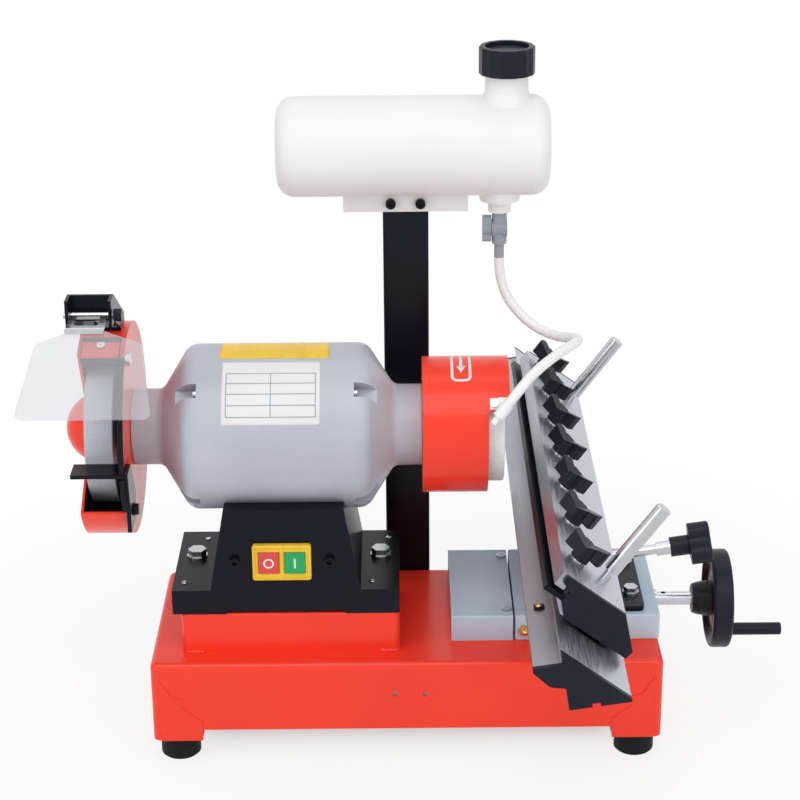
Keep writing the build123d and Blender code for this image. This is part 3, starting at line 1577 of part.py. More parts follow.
# Tilt bracket on the saddle, with two ears that carry the pivot pin
bracket_middle = (bracket_front + bracket_back) / 2
bracket_depth = bracket_back - bracket_front
with BuildPart() as tilt_bracket:
    with Locations(((bracket_left_end + bracket_right_end) / 2, bracket_middle, slide_top)):
        Box(bracket_right_end - bracket_left_end, bracket_depth, bracket_plate, align=ON_TOP)
    fillet(tilt_bracket.edges().filter_by(Axis.Z), radius=bracket_corner)
    for front in (bracket_front, bracket_back - ear_thickness):
        with BuildSketch(facing_front(pivot_x, front, 0)):
            with BuildLine():
                Polyline(
                    (-ear_radius - ear_flare, slide_top),
                    (ear_radius + ear_flare, slide_top),
                    (ear_radius, pivot_z),
                    (-ear_radius, pivot_z),
                    close=True,
                )
            make_face()
            with Locations((0, pivot_z)):
                Circle(ear_radius)
        extrude(amount=-ear_thickness)
    with Locations(facing_front(pivot_x, bracket_middle, pivot_z)):
        Cylinder(pivot_radius + running_fit, 2 * bracket_depth, mode=Mode.SUBTRACT)
    with Locations(*[(x, y, slide_top) for x, y in bracket_bolt_places]):
        Cylinder(m8 + clearance, 2 * through, mode=Mode.SUBTRACT)
write(tilt_bracket, "tilt_bracket")

with BuildPart() as bracket_bolts:
    for x, y in bracket_bolt_places:
        hex_bolt(Plane((x, y, bracket_top)), m8, bracket_plate + bracket_bolt_depth)
    with Locations(facing_front(pivot_x, bracket_middle, pivot_z)):
        Cylinder(pivot_radius, bracket_depth)
    for y, align in ((bracket_front, ON_TOP), (bracket_back, BELOW)):
        with Locations(facing_front(pivot_x, y, pivot_z)):
            Cylinder(pivot_radius + pivot_head, pivot_head, align=align)
write(bracket_bolts, "bracket_bolts")


def rail_outline():
    """Rail's outline: a wedge with a sloping top, and a flange at its left."""
    with BuildLine() as outline:
        FilletPolyline(
            (rail_left, rail_bottom),
            (rail_toe, rail_bottom),
            (rail_toe, rail_bottom + rail_toe_height),
            (rail_left, wedge_sum - rail_left),
            (rail_left, flange_top),
            (flange_left, flange_top),
            (flange_left, flange_top - flange_lip),
            ((flange_left + rail_left) / 2, flange_top - flange_depth + sheet),
            (rail_left, flange_top - flange_depth),
            radius=[0, 0, 0, 0, 1, 1, 2, 8, 2],
            close=True,
        )
    make_face(outline.edges())
    with Locations((rail_slot_a, rail_bottom)):
        Rectangle(rail_slot_width, rail_slot_depth, align=(Align.CENTER, Align.MIN), mode=Mode.SUBTRACT)


def cut_groove():
    """Dovetail groove along the slope, open at the back end."""
    with BuildSketch(slope_section(groove_front)) as groove:
        with BuildLine():
            Polyline(
                (groove_u - groove_half, slope_v),
                (groove_u + groove_half, slope_v),
                (groove_u + groove_half + groove_flare, slope_v - groove_depth),
                (groove_u - groove_half - groove_flare, slope_v - groove_depth),
                close=True,
            )
        make_face()
    extrude(groove.sketch, amount=groove_front - rail_length / 2, mode=Mode.SUBTRACT)


with BuildPart() as rail:
    with BuildSketch(rail_section(-rail_length / 2 + rail_cap)):
        rail_outline()
        with BuildLine():
            Polyline(
                (rail_left + rail_wall, rail_bottom + rail_floor),
                (rail_hollow_right, rail_bottom + rail_floor),
                (rail_left + rail_wall, rail_bottom + rail_hollow_top),
                close=True,
            )
        make_face(mode=Mode.SUBTRACT)
    extrude(amount=-(rail_length - 2 * rail_cap))
    cut_groove()
write(rail, "rail")

with BuildPart() as rail_end_caps:
    for y in (-rail_length / 2, rail_length / 2 - rail_cap):
        with BuildSketch(rail_section(y)):
            rail_outline()
        extrude(amount=-rail_cap)
    cut_groove()
write(rail_end_caps, "rail_end_caps")

# Shoe under the rail, turning on the pivot pin
shoe_front = bracket_front + ear_thickness + shoe_gap
shoe_back = bracket_back - ear_thickness - shoe_gap
with BuildPart() as rail_shoe:
    with BuildSketch(rail_section(shoe_front)):
        with BuildLine():
            FilletPolyline(
                (shoe_left, shoe_bottom),
                (shoe_right, shoe_bottom),
                (shoe_right, rail_bottom),
                (shoe_left, rail_bottom),
                radius=[10, 6, 0, 0],
                close=True,
            )
        make_face()
        Circle(pivot_radius + running_fit, mode=Mode.SUBTRACT)
    extrude(amount=-(shoe_back - shoe_front))
    with Locations(along_rail_bottom(pivot_radius, 0, lock_y)):
        Cylinder(lock_stud_radius + running_fit, 2 * through, align=ON_TOP, mode=Mode.SUBTRACT)
write(rail_shoe, "rail_shoe")

# Clamp stud that presses on the pivot pin, and its three-lobed knob
stud_start = pivot_radius + clearance
with BuildPart() as lock_stud:
    with Locations(along_rail_bottom(stud_start, 0, lock_y)):
        Cylinder(lock_stud_radius, lock_knob_start + lock_stud_in_knob - stud_start, align=ON_TOP)
    with Locations(along_rail_bottom(lock_knob_start - lock_collar, 0, lock_y)):
        Cylinder(lock_collar_radius, lock_collar - slide_gap, align=ON_TOP)
write(lock_stud, "lock_stud")

with BuildPart() as lock_knob:
    with Locations(along_rail_bottom(lock_knob_start, 0, lock_y)):
        Cylinder(lock_hub_radius, lock_hub + 1, align=ON_TOP)
    with BuildSketch(along_rail_bottom(lock_knob_start + lock_hub, 0, lock_y)):
        Circle(lock_knob_radius)
        with PolarLocations(lock_lobe_offset, 3, start_angle=90):
            Circle(lock_lobe_radius)
    extrude(amount=lock_knob_width)
    fillet(lock_knob.faces().sort_by(Axis.X)[-1].edges(), radius=lock_knob_round)
    with Locations(along_rail_bottom(lock_knob_start, 0, lock_y)):
        Cylinder(lock_stud_radius + running_fit, lock_stud_in_knob + 1, align=ON_TOP, mode=Mode.SUBTRACT)
write(lock_knob, "lock_knob")

# Carriage: an extrusion that slides along the rail's slope on two ribs and a dovetail key
carriage_front = carriage_y - carriage_length / 2
carriage_back = carriage_y + carriage_length / 2
body_front = carriage_front + carriage_cap
body_length = carriage_length - 2 * carriage_cap
ledge = carriage_high - bar_thickness
jaw_top = carriage_high - bar_nose - blade_slot
jaw_low = jaw_top - jaw_thickness
jaw_step = bar_left + bar_step
lip_u = foot_u - (jaw_low - carriage_low) * lip_slope
carriage_right = [
    (toe_u, carriage_low),
    (toe_u + 1, carriage_low + toe_height),
    (shoulder_u, carriage_high),
]
with BuildPart() as carriage:
    with BuildSketch(slope_section(body_front)):
        with BuildLine():
            Polyline(
                (foot_u, carriage_low),
                *carriage_right,
                (bar_right + bar_gap, carriage_high),
                (bar_right + bar_gap, ledge),
                (jaw_step, ledge),
                (jaw_step, jaw_low),
                (lip_u, jaw_low),
                close=True,
            )
        make_face()
        with BuildLine():
            Polyline(
                (hollow_left, carriage_low + hollow_floor),
                (hollow_low_right, carriage_low + hollow_floor),
                (hollow_high_right, carriage_low + hollow_roof),
                (hollow_left, carriage_low + hollow_roof),
                close=True,
            )
        make_face(mode=Mode.SUBTRACT)
    extrude(amount=-body_length)
    with BuildSketch(slope_section(body_front + rib_setback)):
        for rib in (foot_u + rib_inset, toe_rib_u):
            with Locations((rib, slope_v + slide_gap)):
                Rectangle(rib_width, carriage_low - slope_v, align=(Align.MIN, Align.MIN))
    extrude(amount=2 * rib_setback - body_length)
    with BuildSketch(slope_section(body_front + key_setback)):
        key_half = groove_half - key_clear
        with BuildLine():
            Polyline(
                (groove_u - key_half, carriage_low + 1),
                (groove_u + key_half, carriage_low + 1),
                (groove_u + key_half, slope_v),
                (groove_u + key_half + key_depth * groove_flare, slope_v - key_depth * groove_depth),
                (groove_u - key_half - key_depth * groove_flare, slope_v - key_depth * groove_depth),
                (groove_u - key_half, slope_v),
                close=True,
            )
        make_face()
    extrude(amount=key_setback + rib_setback - body_length)
    with Locations(*[on_slope(knob_u, ledge, y) for y in knob_ys]):
        Cylinder(stud_radius + running_fit, 2 * stud_hole_depth, mode=Mode.SUBTRACT)
    with Locations(*[on_slope(handle_u, carriage_high, y) for y in handle_y]):
        Cylinder(stud_radius + running_fit, 2 * stud_hole_depth, mode=Mode.SUBTRACT)
write(carriage, "carriage")

with BuildPart() as carriage_end_caps:
    for y in (carriage_front, carriage_back - carriage_cap):
        with BuildSketch(slope_section(y)):
            with BuildLine():
                Polyline(
                    (foot_u + cap_inset, carriage_low),
                    *carriage_right,
                    (bar_left + cap_inset, carriage_high),
                    (bar_left + cap_inset, ledge),
                    (jaw_step, ledge - cap_inset),
                    (jaw_step, jaw_low),
                    close=True,
                )
            make_face()
        extrude(amount=-carriage_cap)
write(carriage_end_caps, "carriage_end_caps")

with BuildPart() as blade_rest:
    with BuildSketch(slope_section(body_front)):
        with Locations((jaw_left, jaw_low)):
            Rectangle(jaw_step - slide_gap - jaw_left, jaw_thickness, align=(Align.MIN, Align.MIN))
    extrude(amount=-body_length)
write(blade_rest, "blade_rest")

with BuildPart() as clamp_bar:
    with BuildSketch(slope_section(body_front)):
        with BuildLine():
            Polyline(
                (bar_left, carriage_high - bar_nose),
                (bar_left + bar_nose_length, carriage_high - bar_nose),
                (bar_left + bar_nose_length, ledge),
                (bar_right, ledge),
                (bar_right, carriage_high),
                (bar_left, carriage_high),
                close=True,
            )
        make_face()
    extrude(amount=-body_length)
    with Locations(*[on_slope(knob_u, ledge, y) for y in knob_ys]):
        Cylinder(stud_radius + clearance, 4 * bar_thickness, mode=Mode.SUBTRACT)
write(clamp_bar, "clamp_bar")

with BuildPart() as clamp_studs:
    for y in knob_ys:
        with Locations(on_slope(knob_u, ledge - stud_depth, y)):
            Cylinder(stud_radius, stud_depth + bar_thickness + collar_height + stud_in_knob, align=ON_TOP)
        with Locations(on_slope(knob_u, carriage_high, y)):
            Cylinder(stud_radius + collar_step, collar_height, align=ON_TOP)
write(clamp_studs, "clamp_studs")

# Wing knobs: each a hub with two offset wings that dip towards the middle
knob_low = carriage_high + collar_height + slide_gap
wing_low = knob_low + knob_hub
wing_reach = knob_length / 4
square_to_slope = Axis((0, 0, 0), (sin(radians(slope)), 0, cos(radians(slope))))
for i, (y, twist) in enumerate(zip(knob_ys, knob_twists)):
    with BuildPart() as wing_knob:
        with Locations(on_slope(knob_u, knob_low, y)):
            Cylinder(knob_hub_radius, 2 * knob_hub, align=ON_TOP)
        with BuildSketch(on_slope(knob_u, wing_low, y, twist)):
            for s in (-1, 1):
                with Locations((s * (wing_reach - wing_overlap / 2), s * wing_offset)):
                    RectangleRounded(knob_length / 2 + wing_overlap, knob_width, wing_round)
            Circle(knob_hub_radius)
        extrude(amount=knob_height)
        top = on_slope(knob_u, wing_low + knob_height, y, twist)
        with BuildSketch(Plane(origin=top.origin, x_dir=top.x_dir, z_dir=-top.y_dir)):
            with BuildLine():
                Polyline((-knob_length, wing_dip), (0, -wing_dip), (knob_length, wing_dip), close=True)
            make_face()
        extrude(amount=knob_length, both=True, mode=Mode.SUBTRACT)
        with Locations(on_slope(knob_u, knob_low, y)):
            Cylinder(stud_radius + running_fit, stud_in_knob + 1, align=ON_TOP, mode=Mode.SUBTRACT)
    write(wing_knob, f"wing_knob_{i + 1}")

with BuildPart() as push_handles:
    for y in handle_y:
        with Locations(on_slope(handle_u, carriage_high, y)):
            Cylinder(stud_radius, stud_hole_depth - 1, align=BELOW)
            Cylinder(handle_neck_radius, handle_neck + 1, align=ON_TOP)
        with Locations(on_slope(handle_u, carriage_high + handle_neck, y)):
            Cylinder(handle_radius, handle_length - handle_neck, align=ON_TOP)
    chamfer(push_handles.faces().group_by(square_to_slope)[-1].edges(), length=handle_chamfer)
write(push_handles, "push_handles")

# Bright screws, bolts and nuts of the fixed frame
with BuildPart() as zinc_screws:
    for side in (-1, 1):
        wing_x = pedestal_x + side * wing_bolt_x
        wing_bolt_length = flange_height + sheet + wing_nut_height + 1
        hex_bolt(Plane((wing_x, motor_y, wing_top)), wing_bolt_radius, wing_bolt_length)
        wing_nut_z = riser_top - sheet - wing_nut_height
        hex_head(Plane((wing_x, motor_y, wing_nut_z)), wing_nut_flats, wing_nut_height)
    for x, y, _ in foot_places:
        foot_shank = foot_height - foot_recess_depth + sheet + foot_nut_height + 1
        with Locations((x, y, foot_recess_depth)):
            Cylinder(foot_screw_head, foot_nut_height, align=BELOW)
            Cylinder(m6, foot_shank, align=ON_TOP)
        hex_head(Plane((x, y, leg_bottom + sheet)), foot_nut_flats, foot_nut_height)
    for k in range(4):
        pan_screw(bell_screw(pocket_end(shoulder_left, -1), k, -1), m5, screw_hole_depth - 1)
        pan_screw(bell_screw(pocket_end(shoulder_right, 1), k, 1), m5, screw_hole_depth - 1)
    for plane in guard_screws + cup_screws:
        pan_screw(plane, m5, screw_length)
    for plane in cover_screws + rim_screws:
        pan_screw(plane, m4, short_screw)
    for x in post_bolt_xs:
        hex_bolt(facing_back(x, post_front + sheet, bolt_hole_z), m6, 2 * sheet + frame_nut_height)
        hex_head(facing_front(x, post_front - sheet, bolt_hole_z), frame_nut_flats, frame_nut_height)
    for x, y in post_places:
        pan_screw(Plane((x, y, slide_top)), m5, screw_length)
    pan_screw(nozzle_screw, m4, screw_length)
write(zinc_screws, "zinc_screws")

# Black socket screws of the switch, the tank and the tool rest
with BuildPart() as socket_screws:
    for side in (-1, 1):
        plane = facing_front(switch_x + side * switch_screw_offset, pedestal_front, switch_z)
        socket_screw(plane, m6, screw_length)
    for x in bolt_xs:
        tank_screw_length = tab_thickness + sheet + frame_nut_height + 1
        socket_screw(facing_front(x, tank_y, tank_screw_z), m6, tank_screw_length)
        hex_head(facing_back(x, post_front + sheet, tank_screw_z), frame_nut_flats, frame_nut_height)
    rest_bolt = facing_right(arm_left + rest_thickness + slide_gap, rest_bolt_y, rest_bolt_z)
    hex_bolt(rest_bolt, m6, rest_thickness + guard_sheet + sheet)
write(socket_screws, "socket_screws")
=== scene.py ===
import json
import math
import bmesh
import bpy
from mathutils import Matrix, Vector

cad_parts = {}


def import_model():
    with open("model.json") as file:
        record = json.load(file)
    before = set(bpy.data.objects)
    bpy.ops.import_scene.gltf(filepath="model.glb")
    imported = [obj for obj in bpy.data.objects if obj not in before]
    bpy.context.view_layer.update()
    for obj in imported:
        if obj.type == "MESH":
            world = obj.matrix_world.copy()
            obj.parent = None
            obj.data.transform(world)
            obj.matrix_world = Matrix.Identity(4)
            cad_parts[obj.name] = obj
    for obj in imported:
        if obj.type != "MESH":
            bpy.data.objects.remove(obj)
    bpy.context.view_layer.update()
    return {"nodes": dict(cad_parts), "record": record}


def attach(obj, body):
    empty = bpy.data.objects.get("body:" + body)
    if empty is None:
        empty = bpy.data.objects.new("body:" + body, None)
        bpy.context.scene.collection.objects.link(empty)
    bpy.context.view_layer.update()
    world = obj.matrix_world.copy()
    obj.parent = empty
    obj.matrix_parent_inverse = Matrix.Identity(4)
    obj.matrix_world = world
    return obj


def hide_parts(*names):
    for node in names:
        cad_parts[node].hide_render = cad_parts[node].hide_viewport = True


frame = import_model()

# Pieces and camera are given in millimetres, floor and lamps in metres. Angles about the motor's
# axis are in degrees, counted upwards from the front.
MM = 0.001
TO_RIGHT = (1, 0, 0)
TO_FRONT = (0, -1, 0)
UP = (0, 0, 1)

# Places taken over from the model
MOTOR_Y = -10.5
MOTOR_Z = 325.0
BARREL_RADIUS = 82.5
CUP_GUARD_RADIUS = 68.0
GUARD_RADIUS = 106.0
PIVOT_X = 154.5
PIVOT_Z = 186.5
RAIL_TILT = math.radians(8.5)
BUTTON_FACE = -96.0
BUTTON_HEIGHT = 213.4
STOP_X = -146.5
START_X = -120.7


def metres(point):
    return Vector(point) * MM


# Materials, by the names of the record's slots

looks = {}

# Range in which most values of a noise lie
NOISE_LOW = 0.3
NOISE_HIGH = 0.7

# Painted shade on aluminium by side: lean to the right, as the normal's X, at which the shade
# starts to lift and is gone, and the share of colour left where it is full
SHADE_LIFTS_FROM = 0.1
SHADE_GONE_AT = 0.45
PAINTED_SHADE_SHARE = 0.75


def set_inputs(tree, node, inputs):
    """Sets a node's inputs, each to a value or to the socket that feeds it."""
    for key, value in inputs.items():
        if isinstance(value, bpy.types.NodeSocket):
            tree.links.new(value, node.inputs[key])
        else:
            node.inputs[key].default_value = value


def new_node(tree, kind, inputs):
    node = tree.nodes.new(kind)
    set_inputs(tree, node, inputs)
    return node


def coordinates(tree, kind):
    return tree.nodes.new("ShaderNodeTexCoord").outputs[kind]


def set_shader(material, inputs):
    tree = material.node_tree
    set_inputs(tree, tree.nodes["Principled BSDF"], inputs)


def new_material(name, colour, roughness, metallic=0.0, specular=0.5):
    material = bpy.data.materials.new(name)
    material.use_nodes = True
    inputs = {
        "Base Color": (*colour, 1.0),
        "Roughness": roughness,
        "Metallic": metallic,
        "Specular IOR Level": specular,
    }
    set_shader(material, inputs)
    looks[name] = material
    return material


def noise(material, scale, detail=2.0, stretch=(1.0, 1.0, 1.0)):
    """Noise in the object's own coordinates, which are metres."""
    tree = material.node_tree
    place = {"Vector": coordinates(tree, "Object"), "Scale": stretch}
    mapping = new_node(tree, "ShaderNodeMapping", place)
    inputs = {"Vector": mapping.outputs["Vector"], "Scale": scale, "Detail": detail}
    return new_node(tree, "ShaderNodeTexNoise", inputs).outputs["Fac"]


def grains(material, scale):
    """Cells of random brightness, as in a bonded abrasive."""
    tree = material.node_tree
    inputs = {"Vector": coordinates(tree, "Object"), "Scale": scale}
    cells = new_node(tree, "ShaderNodeTexVoronoi", inputs)
    return new_node(tree, "ShaderNodeRGBToBW", {"Color": cells.outputs["Color"]}).outputs["Val"]


def vary_colour(material, factor, colour, low, high):
    """Lets a factor move the base colour between two multiples of it."""
    ramp = new_node(material.node_tree, "ShaderNodeValToRGB", {"Fac": factor})
    for i, (position, share) in enumerate(((NOISE_LOW, low), (NOISE_HIGH, high))):
        stop = ramp.color_ramp.elements[i]
        stop.position = position
        stop.color = (*(min(1.0, c * share) for c in colour), 1.0)
    set_shader(material, {"Base Color": ramp.outputs["Color"]})


def vary_roughness(material, factor, roughness, low, high):
    """Lets a factor move the roughness between two multiples of it."""
    inputs = {
        "Value": factor,
        "From Min": NOISE_LOW,
        "From Max": NOISE_HIGH,
        "To Min": roughness * low,
        "To Max": roughness * high,
    }
    spread = new_node(material.node_tree, "ShaderNodeMapRange", inputs)
    set_shader(material, {"Roughness": spread.outputs["Result"]})


def raise_bumps(material, factor, strength, depth):
    inputs = {"Height": factor, "Strength": strength, "Distance": depth * MM}
    bump = new_node(material.node_tree, "ShaderNodeBump", inputs)
    set_shader(material, {"Normal": bump.outputs["Normal"]})


def paint(name, colour, roughness, coat, specular, peel=0.12, spread=0.05):
    """Sprayed paint: a little cloudy in colour, with the soft ripple of a sprayed coat."""
    material = new_material(name, colour, roughness, specular=specular)
    clouds = noise(material, scale=14.0, detail=3.0)
    vary_colour(material, clouds, colour, low=1 - spread, high=1 + spread)
    vary_roughness(material, noise(material, scale=60.0), roughness, low=0.95, high=1.05)
    raise_bumps(material, noise(material, scale=420.0), strength=peel, depth=0.02)
    set_shader(material, {"Coat Weight": coat, "Coat Roughness": 0.12})


def metal(name, colour, roughness, scale, grain=(1.0, 1.0, 1.0), depth=0.02):
    """Bare metal with drawing or turning marks along the axis that grain leaves short."""
    material = new_material(name, colour, roughness, metallic=1.0)
    marks = noise(material, scale, detail=6.0, stretch=grain)
    vary_colour(material, marks, colour, low=0.93, high=1.05)
    vary_roughness(material, marks, roughness, low=0.75, high=1.3)
    raise_bumps(material, marks, strength=0.25, depth=depth)
    return material


def metal_shaded_by_side(name, colour, roughness):
    """Drawn aluminium with painted shade: faces that don't lean to the right are darkened, those
    that lean keep their full colour.
    """
    material = metal(name, colour, roughness, scale=900.0, grain=(1.0, 0.03, 1.0))
    tree = material.node_tree
    normal = new_node(tree, "ShaderNodeSeparateXYZ", {"Vector": coordinates(tree, "Normal")})
    inputs = {
        "Value": normal.outputs["X"],
        "From Min": SHADE_LIFTS_FROM,
        "From Max": SHADE_GONE_AT,
        "To Min": PAINTED_SHADE_SHARE,
    }
    lean = new_node(tree, "ShaderNodeMapRange", inputs)
    marks = tree.nodes["Principled BSDF"].inputs["Base Color"].links[0].from_socket
    shaded = tree.nodes.new("ShaderNodeVectorMath")
    shaded.operation = "SCALE"
    set_inputs(tree, shaded, {"Vector": marks, "Scale": lean.outputs["Result"]})
    set_shader(material, {"Base Color": shaded.outputs["Vector"]})


def plastic(name, colour, roughness, strength=0.15, specular=0.3):
    """Moulded plastic with a fine eroded texture."""
    material = new_material(name, colour, roughness, specular=specular)
    vary_colour(material, noise(material, scale=35.0, detail=3.0), colour, low=0.9, high=1.1)
    patches = noise(material, scale=140.0, detail=3.0)
    vary_roughness(material, patches, roughness, low=0.85, high=1.15)
    raise_bumps(material, noise(material, scale=500.0), strength, depth=0.15)


def abrasive(name, colour):
    """Bonded grit: grains of differing brightness over an open, rough face."""
    material = new_material(name, colour, roughness=0.85)
    grit = grains(material, scale=1100.0)
    vary_colour(material, grit, colour, low=0.94, high=1.06)
    raise_bumps(material, grit, strength=0.35, depth=0.12)


def clear_sheet(name, colour, roughness):
    """Clear plastic sheet, a little hazy."""
    material = new_material(name, colour, roughness)
    haze = noise(material, scale=25.0, detail=3.0)
    vary_roughness(material, haze, roughness, low=0.5, high=1.5)
    set_shader(material, {"Transmission Weight": 0.8, "IOR": 1.25})


def milky(name, colour, roughness, scatter):
    """Milky moulded plastic that light goes into a little way."""
    material = new_material(name, colour, roughness, specular=0.2)
    vary_colour(material, noise(material, scale=9.0), colour, low=0.97, high=1.02)
    patches = noise(material, scale=120.0, detail=3.0)
    vary_roughness(material, patches, roughness, low=0.9, high=1.15)
    raise_bumps(material, noise(material, scale=300.0), strength=0.06, depth=0.2)
    inputs = {
        "Subsurface Weight": scatter,
        "Subsurface Radius": (0.006, 0.006, 0.006),
        "Subsurface Scale": 1.0,
    }
    set_shader(material, inputs)


paint("red_paint", (0.9, 0.048, 0.023), 0.26, coat=0.12, specular=0.22, spread=0.03)
paint("black_paint", (0.004, 0.005, 0.01), 0.26, coat=0.0, specular=0.16, peel=0.16, spread=0.2)
paint("motor_paint", (0.46, 0.485, 0.545), 0.4, coat=0.1, specular=0.4)
paint("slide_paint", (0.48, 0.58, 0.69), 0.45, coat=0.05, specular=0.25, peel=0.25)
# Aluminium with painted shade on the faces that don't lean to the right
metal_shaded_by_side("aluminium", (0.54, 0.56, 0.61), 0.38)
metal("bright_steel", (0.53, 0.54, 0.57), 0.22, scale=160.0, depth=0.004)
plastic("black_steel", (0.005, 0.006, 0.01), 0.34, strength=0.1, specular=0.15)
plastic("black_plastic", (0.011, 0.012, 0.02), 0.36, specular=0.16)
abrasive("wheel_grit", (0.6, 0.63, 0.69))
abrasive("cup_grit", (0.84, 0.85, 0.85))
clear_sheet("clear_plastic", (0.85, 0.855, 0.88), 0.04)
milky("tank_plastic", (0.85, 0.85, 0.86), 0.38, scatter=0.15)
plastic("yellow_plastic", (0.84, 0.55, 0.035), 0.3, strength=0.06)
plastic("red_plastic", (0.7, 0.07, 0.065), 0.28, strength=0.05)
plastic("green_plastic", (0.02, 0.36, 0.11), 0.28, strength=0.05)
metal("brass", (0.72, 0.5, 0.19), 0.3, scale=200.0)
plastic("rubber", (0.008, 0.008, 0.01), 0.6, strength=0.3, specular=0.15)
plastic("grey_plastic", (0.3, 0.33, 0.37), 0.4)

for part in frame["record"]["subparts"]:
    node = frame["nodes"][part["node"]]
    node.data.materials.clear()
    node.data.materials.append(looks[part["material_slot"]])


# Making of pieces that the model doesn't hold

ROUND_STEPS = 28
HEX_STEPS = 6
BENT_STEPS = 24
PRINT_HEIGHT = 0.25

# Domed head: share of its height that stands upright, and the arc above that
DOME_WALL = 0.3
DOME_ARC = 1.4
DOME_STEPS = 5

# Hexagon: height at which its corners start to turn down, and radius of the top face
HEX_SHOULDER = 0.8
HEX_FACE = 0.88


def add_object(name, data):
    thing = bpy.data.objects.new(name, data)
    bpy.context.scene.collection.objects.link(thing)
    return thing


def new_mesh(name, bm):
    mesh = bpy.data.meshes.new(name)
    bm.to_mesh(mesh)
    bm.free()
    return mesh


def mesh_piece(name, bm, slot, body, smooth=True):
    """Turns a bmesh in metres into a piece that rides on a body."""
    bmesh.ops.recalc_face_normals(bm, faces=bm.faces)
    mesh = new_mesh(name, bm)
    for face in mesh.polygons:
        face.use_smooth = smooth
    mesh.materials.append(looks[slot])
    piece = add_object(name, mesh)
    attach(piece, body)


def around_motor(x, radius, angle):
    """Point on a cylinder about the motor's axis."""
    turn = math.radians(angle)
    return metres((x, MOTOR_Y - radius * math.cos(turn), MOTOR_Z + radius * math.sin(turn)))


def on_rail(along, above, y):
    """Point in the rail's own axes: along its bottom, and square to it."""
    x = PIVOT_X + along * math.cos(RAIL_TILT) - above * math.sin(RAIL_TILT)
    z = PIVOT_Z + along * math.sin(RAIL_TILT) + above * math.cos(RAIL_TILT)
    return (x, y, z)


def steps_between(low, high, count):
    return [low + (high - low) * i / count for i in range(count + 1)]


def with_edges(left, right, edge):
    """Places across a plate, with a narrow strip at each edge that keeps its shading even."""
    return (left, left + edge, right - edge, right)


def slab(bm, lower, upper):
    """Closed sheet between two grids of points with the same rows and columns."""
    low = [[bm.verts.new(point) for point in row] for row in lower]
    high = [[bm.verts.new(point) for point in row] for row in upper]
    rows = len(low)
    columns = len(low[0])
    for grid in (low, high):
        for i in range(rows - 1):
            for j in range(columns - 1):
                bm.faces.new((grid[i][j], grid[i][j + 1], grid[i + 1][j + 1], grid[i + 1][j]))
    rim = [(i, 0) for i in range(rows)]
    rim += [(rows - 1, j) for j in range(1, columns)]
    rim += [(i, columns - 1) for i in range(rows - 2, -1, -1)]
    rim += [(0, j) for j in range(columns - 2, 0, -1)]
    for (a, b), (c, d) in zip(rim, rim[1:] + rim[:1]):
        bm.faces.new((low[a][b], low[c][d], high[c][d], high[a][b]))


def bent_slab(bm, rows, radii):
    """Sheet bent round the motor's axis, its rows given as points in X and degrees."""
    lower, upper = [[[around_motor(x, r, a) for x, a in row] for row in rows] for r in radii]
    slab(bm, lower, upper)


def bent_plate(bm, xs, angles, radii):
    """Plate bent round the motor's axis."""
    bent_slab(bm, [[(x, a) for x in xs] for a in steps_between(*angles, BENT_STEPS)], radii)


def ribbon(bm, path, width, radius):
    """Printed line on a cylinder about the motor's axis, its path in X and degrees."""
    flat = [Vector((x, math.radians(a) * radius)) for x, a in path]
    rows = []
    for i, point in enumerate(flat):
        along = flat[min(i + 1, len(flat) - 1)] - flat[max(i - 1, 0)]
        side = Vector((-along.y, along.x)).normalized() * width / 2
        edges = (point - side, point + side)
        rows.append([(edge.x, math.degrees(edge.y / radius)) for edge in edges])
    bent_slab(bm, rows, (radius, radius + PRINT_HEIGHT))


def lathe(bm, profile, place, axis, steps=ROUND_STEPS, flute=0.0):
    """Turns a profile of (radius, height) points about an axis; flute sinks every second step."""
    turn = Vector(axis).to_track_quat("Z", "Y").to_matrix()
    rings = []
    for radius, height in profile:
        ring = []
        for i in range(steps if radius else 1):
            angle = math.tau * i / steps
            r = radius * (1 - flute * (i % 2))
            point = Vector((r * math.cos(angle), r * math.sin(angle), height))
            ring.append(bm.verts.new(metres(Vector(place) + turn @ point)))
        rings.append(ring)
    pairs = list(zip(rings, rings[1:]))
    if len(rings[0]) > 1:
        pairs.append((rings[-1], rings[0]))
    for a, b in pairs:
        for i in range(steps):
            j = (i + 1) % steps
            corners = (a[i % len(a)], a[j % len(a)], b[j % len(b)], b[i % len(b)])
            bm.faces.new(list(dict.fromkeys(corners)))


def domed(radius, height):
    """Profile of a domed head."""
    arc = []
    for t in steps_between(0.0, DOME_ARC, DOME_STEPS):
        rise = DOME_WALL + (1 - DOME_WALL) * math.sin(t)
        arc.append((radius * math.cos(t), height * rise))
    return [(0, 0), (radius, 0), *arc, (0, height)]


def hexagon(corner, height):
    """Profile of a hexagon head or nut with its corners turned down."""
    shoulder = (corner, HEX_SHOULDER * height)
    return [(0, 0), (corner, 0), shoulder, (HEX_FACE * corner, height), (0, height)]


# Hose, from the valve to the nozzle

HOSE_DIAMETER = 10.0
HOSE_STEPS = 12
HOSE_ROUNDNESS = 6
HOSE_POINTS = [
    (86, 88.5, 467.6),
    (86, 88.5, 437),
    (110, 77.5, 404),
    (141, 54.5, 392),
    (168, 14.5, 406),
    (143, -30.5, 410),
    (115, -55.5, 398),
    (98, -70.5, 383),
    (88.5, -74.5, 371.5),
]


def hose():
    curve = bpy.data.curves.new("hose", "CURVE")
    curve.dimensions = "3D"
    spline = curve.splines.new("NURBS")
    spline.points.add(len(HOSE_POINTS) - 1)
    for place, point in zip(spline.points, HOSE_POINTS):
        place.co = (*metres(point), 1.0)
    spline.order_u = 3
    spline.use_endpoint_u = True
    spline.resolution_u = HOSE_STEPS
    curve.bevel_depth = HOSE_DIAMETER / 2 * MM
    curve.bevel_resolution = HOSE_ROUNDNESS
    curve.use_fill_caps = True
    curve.materials.append(looks["tank_plastic"])
    piece = add_object("hose", curve)
    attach(piece, "base")
    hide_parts("coolant_hose")


# Marks on the two buttons. The bar's rows are half its width, and the height from its middle

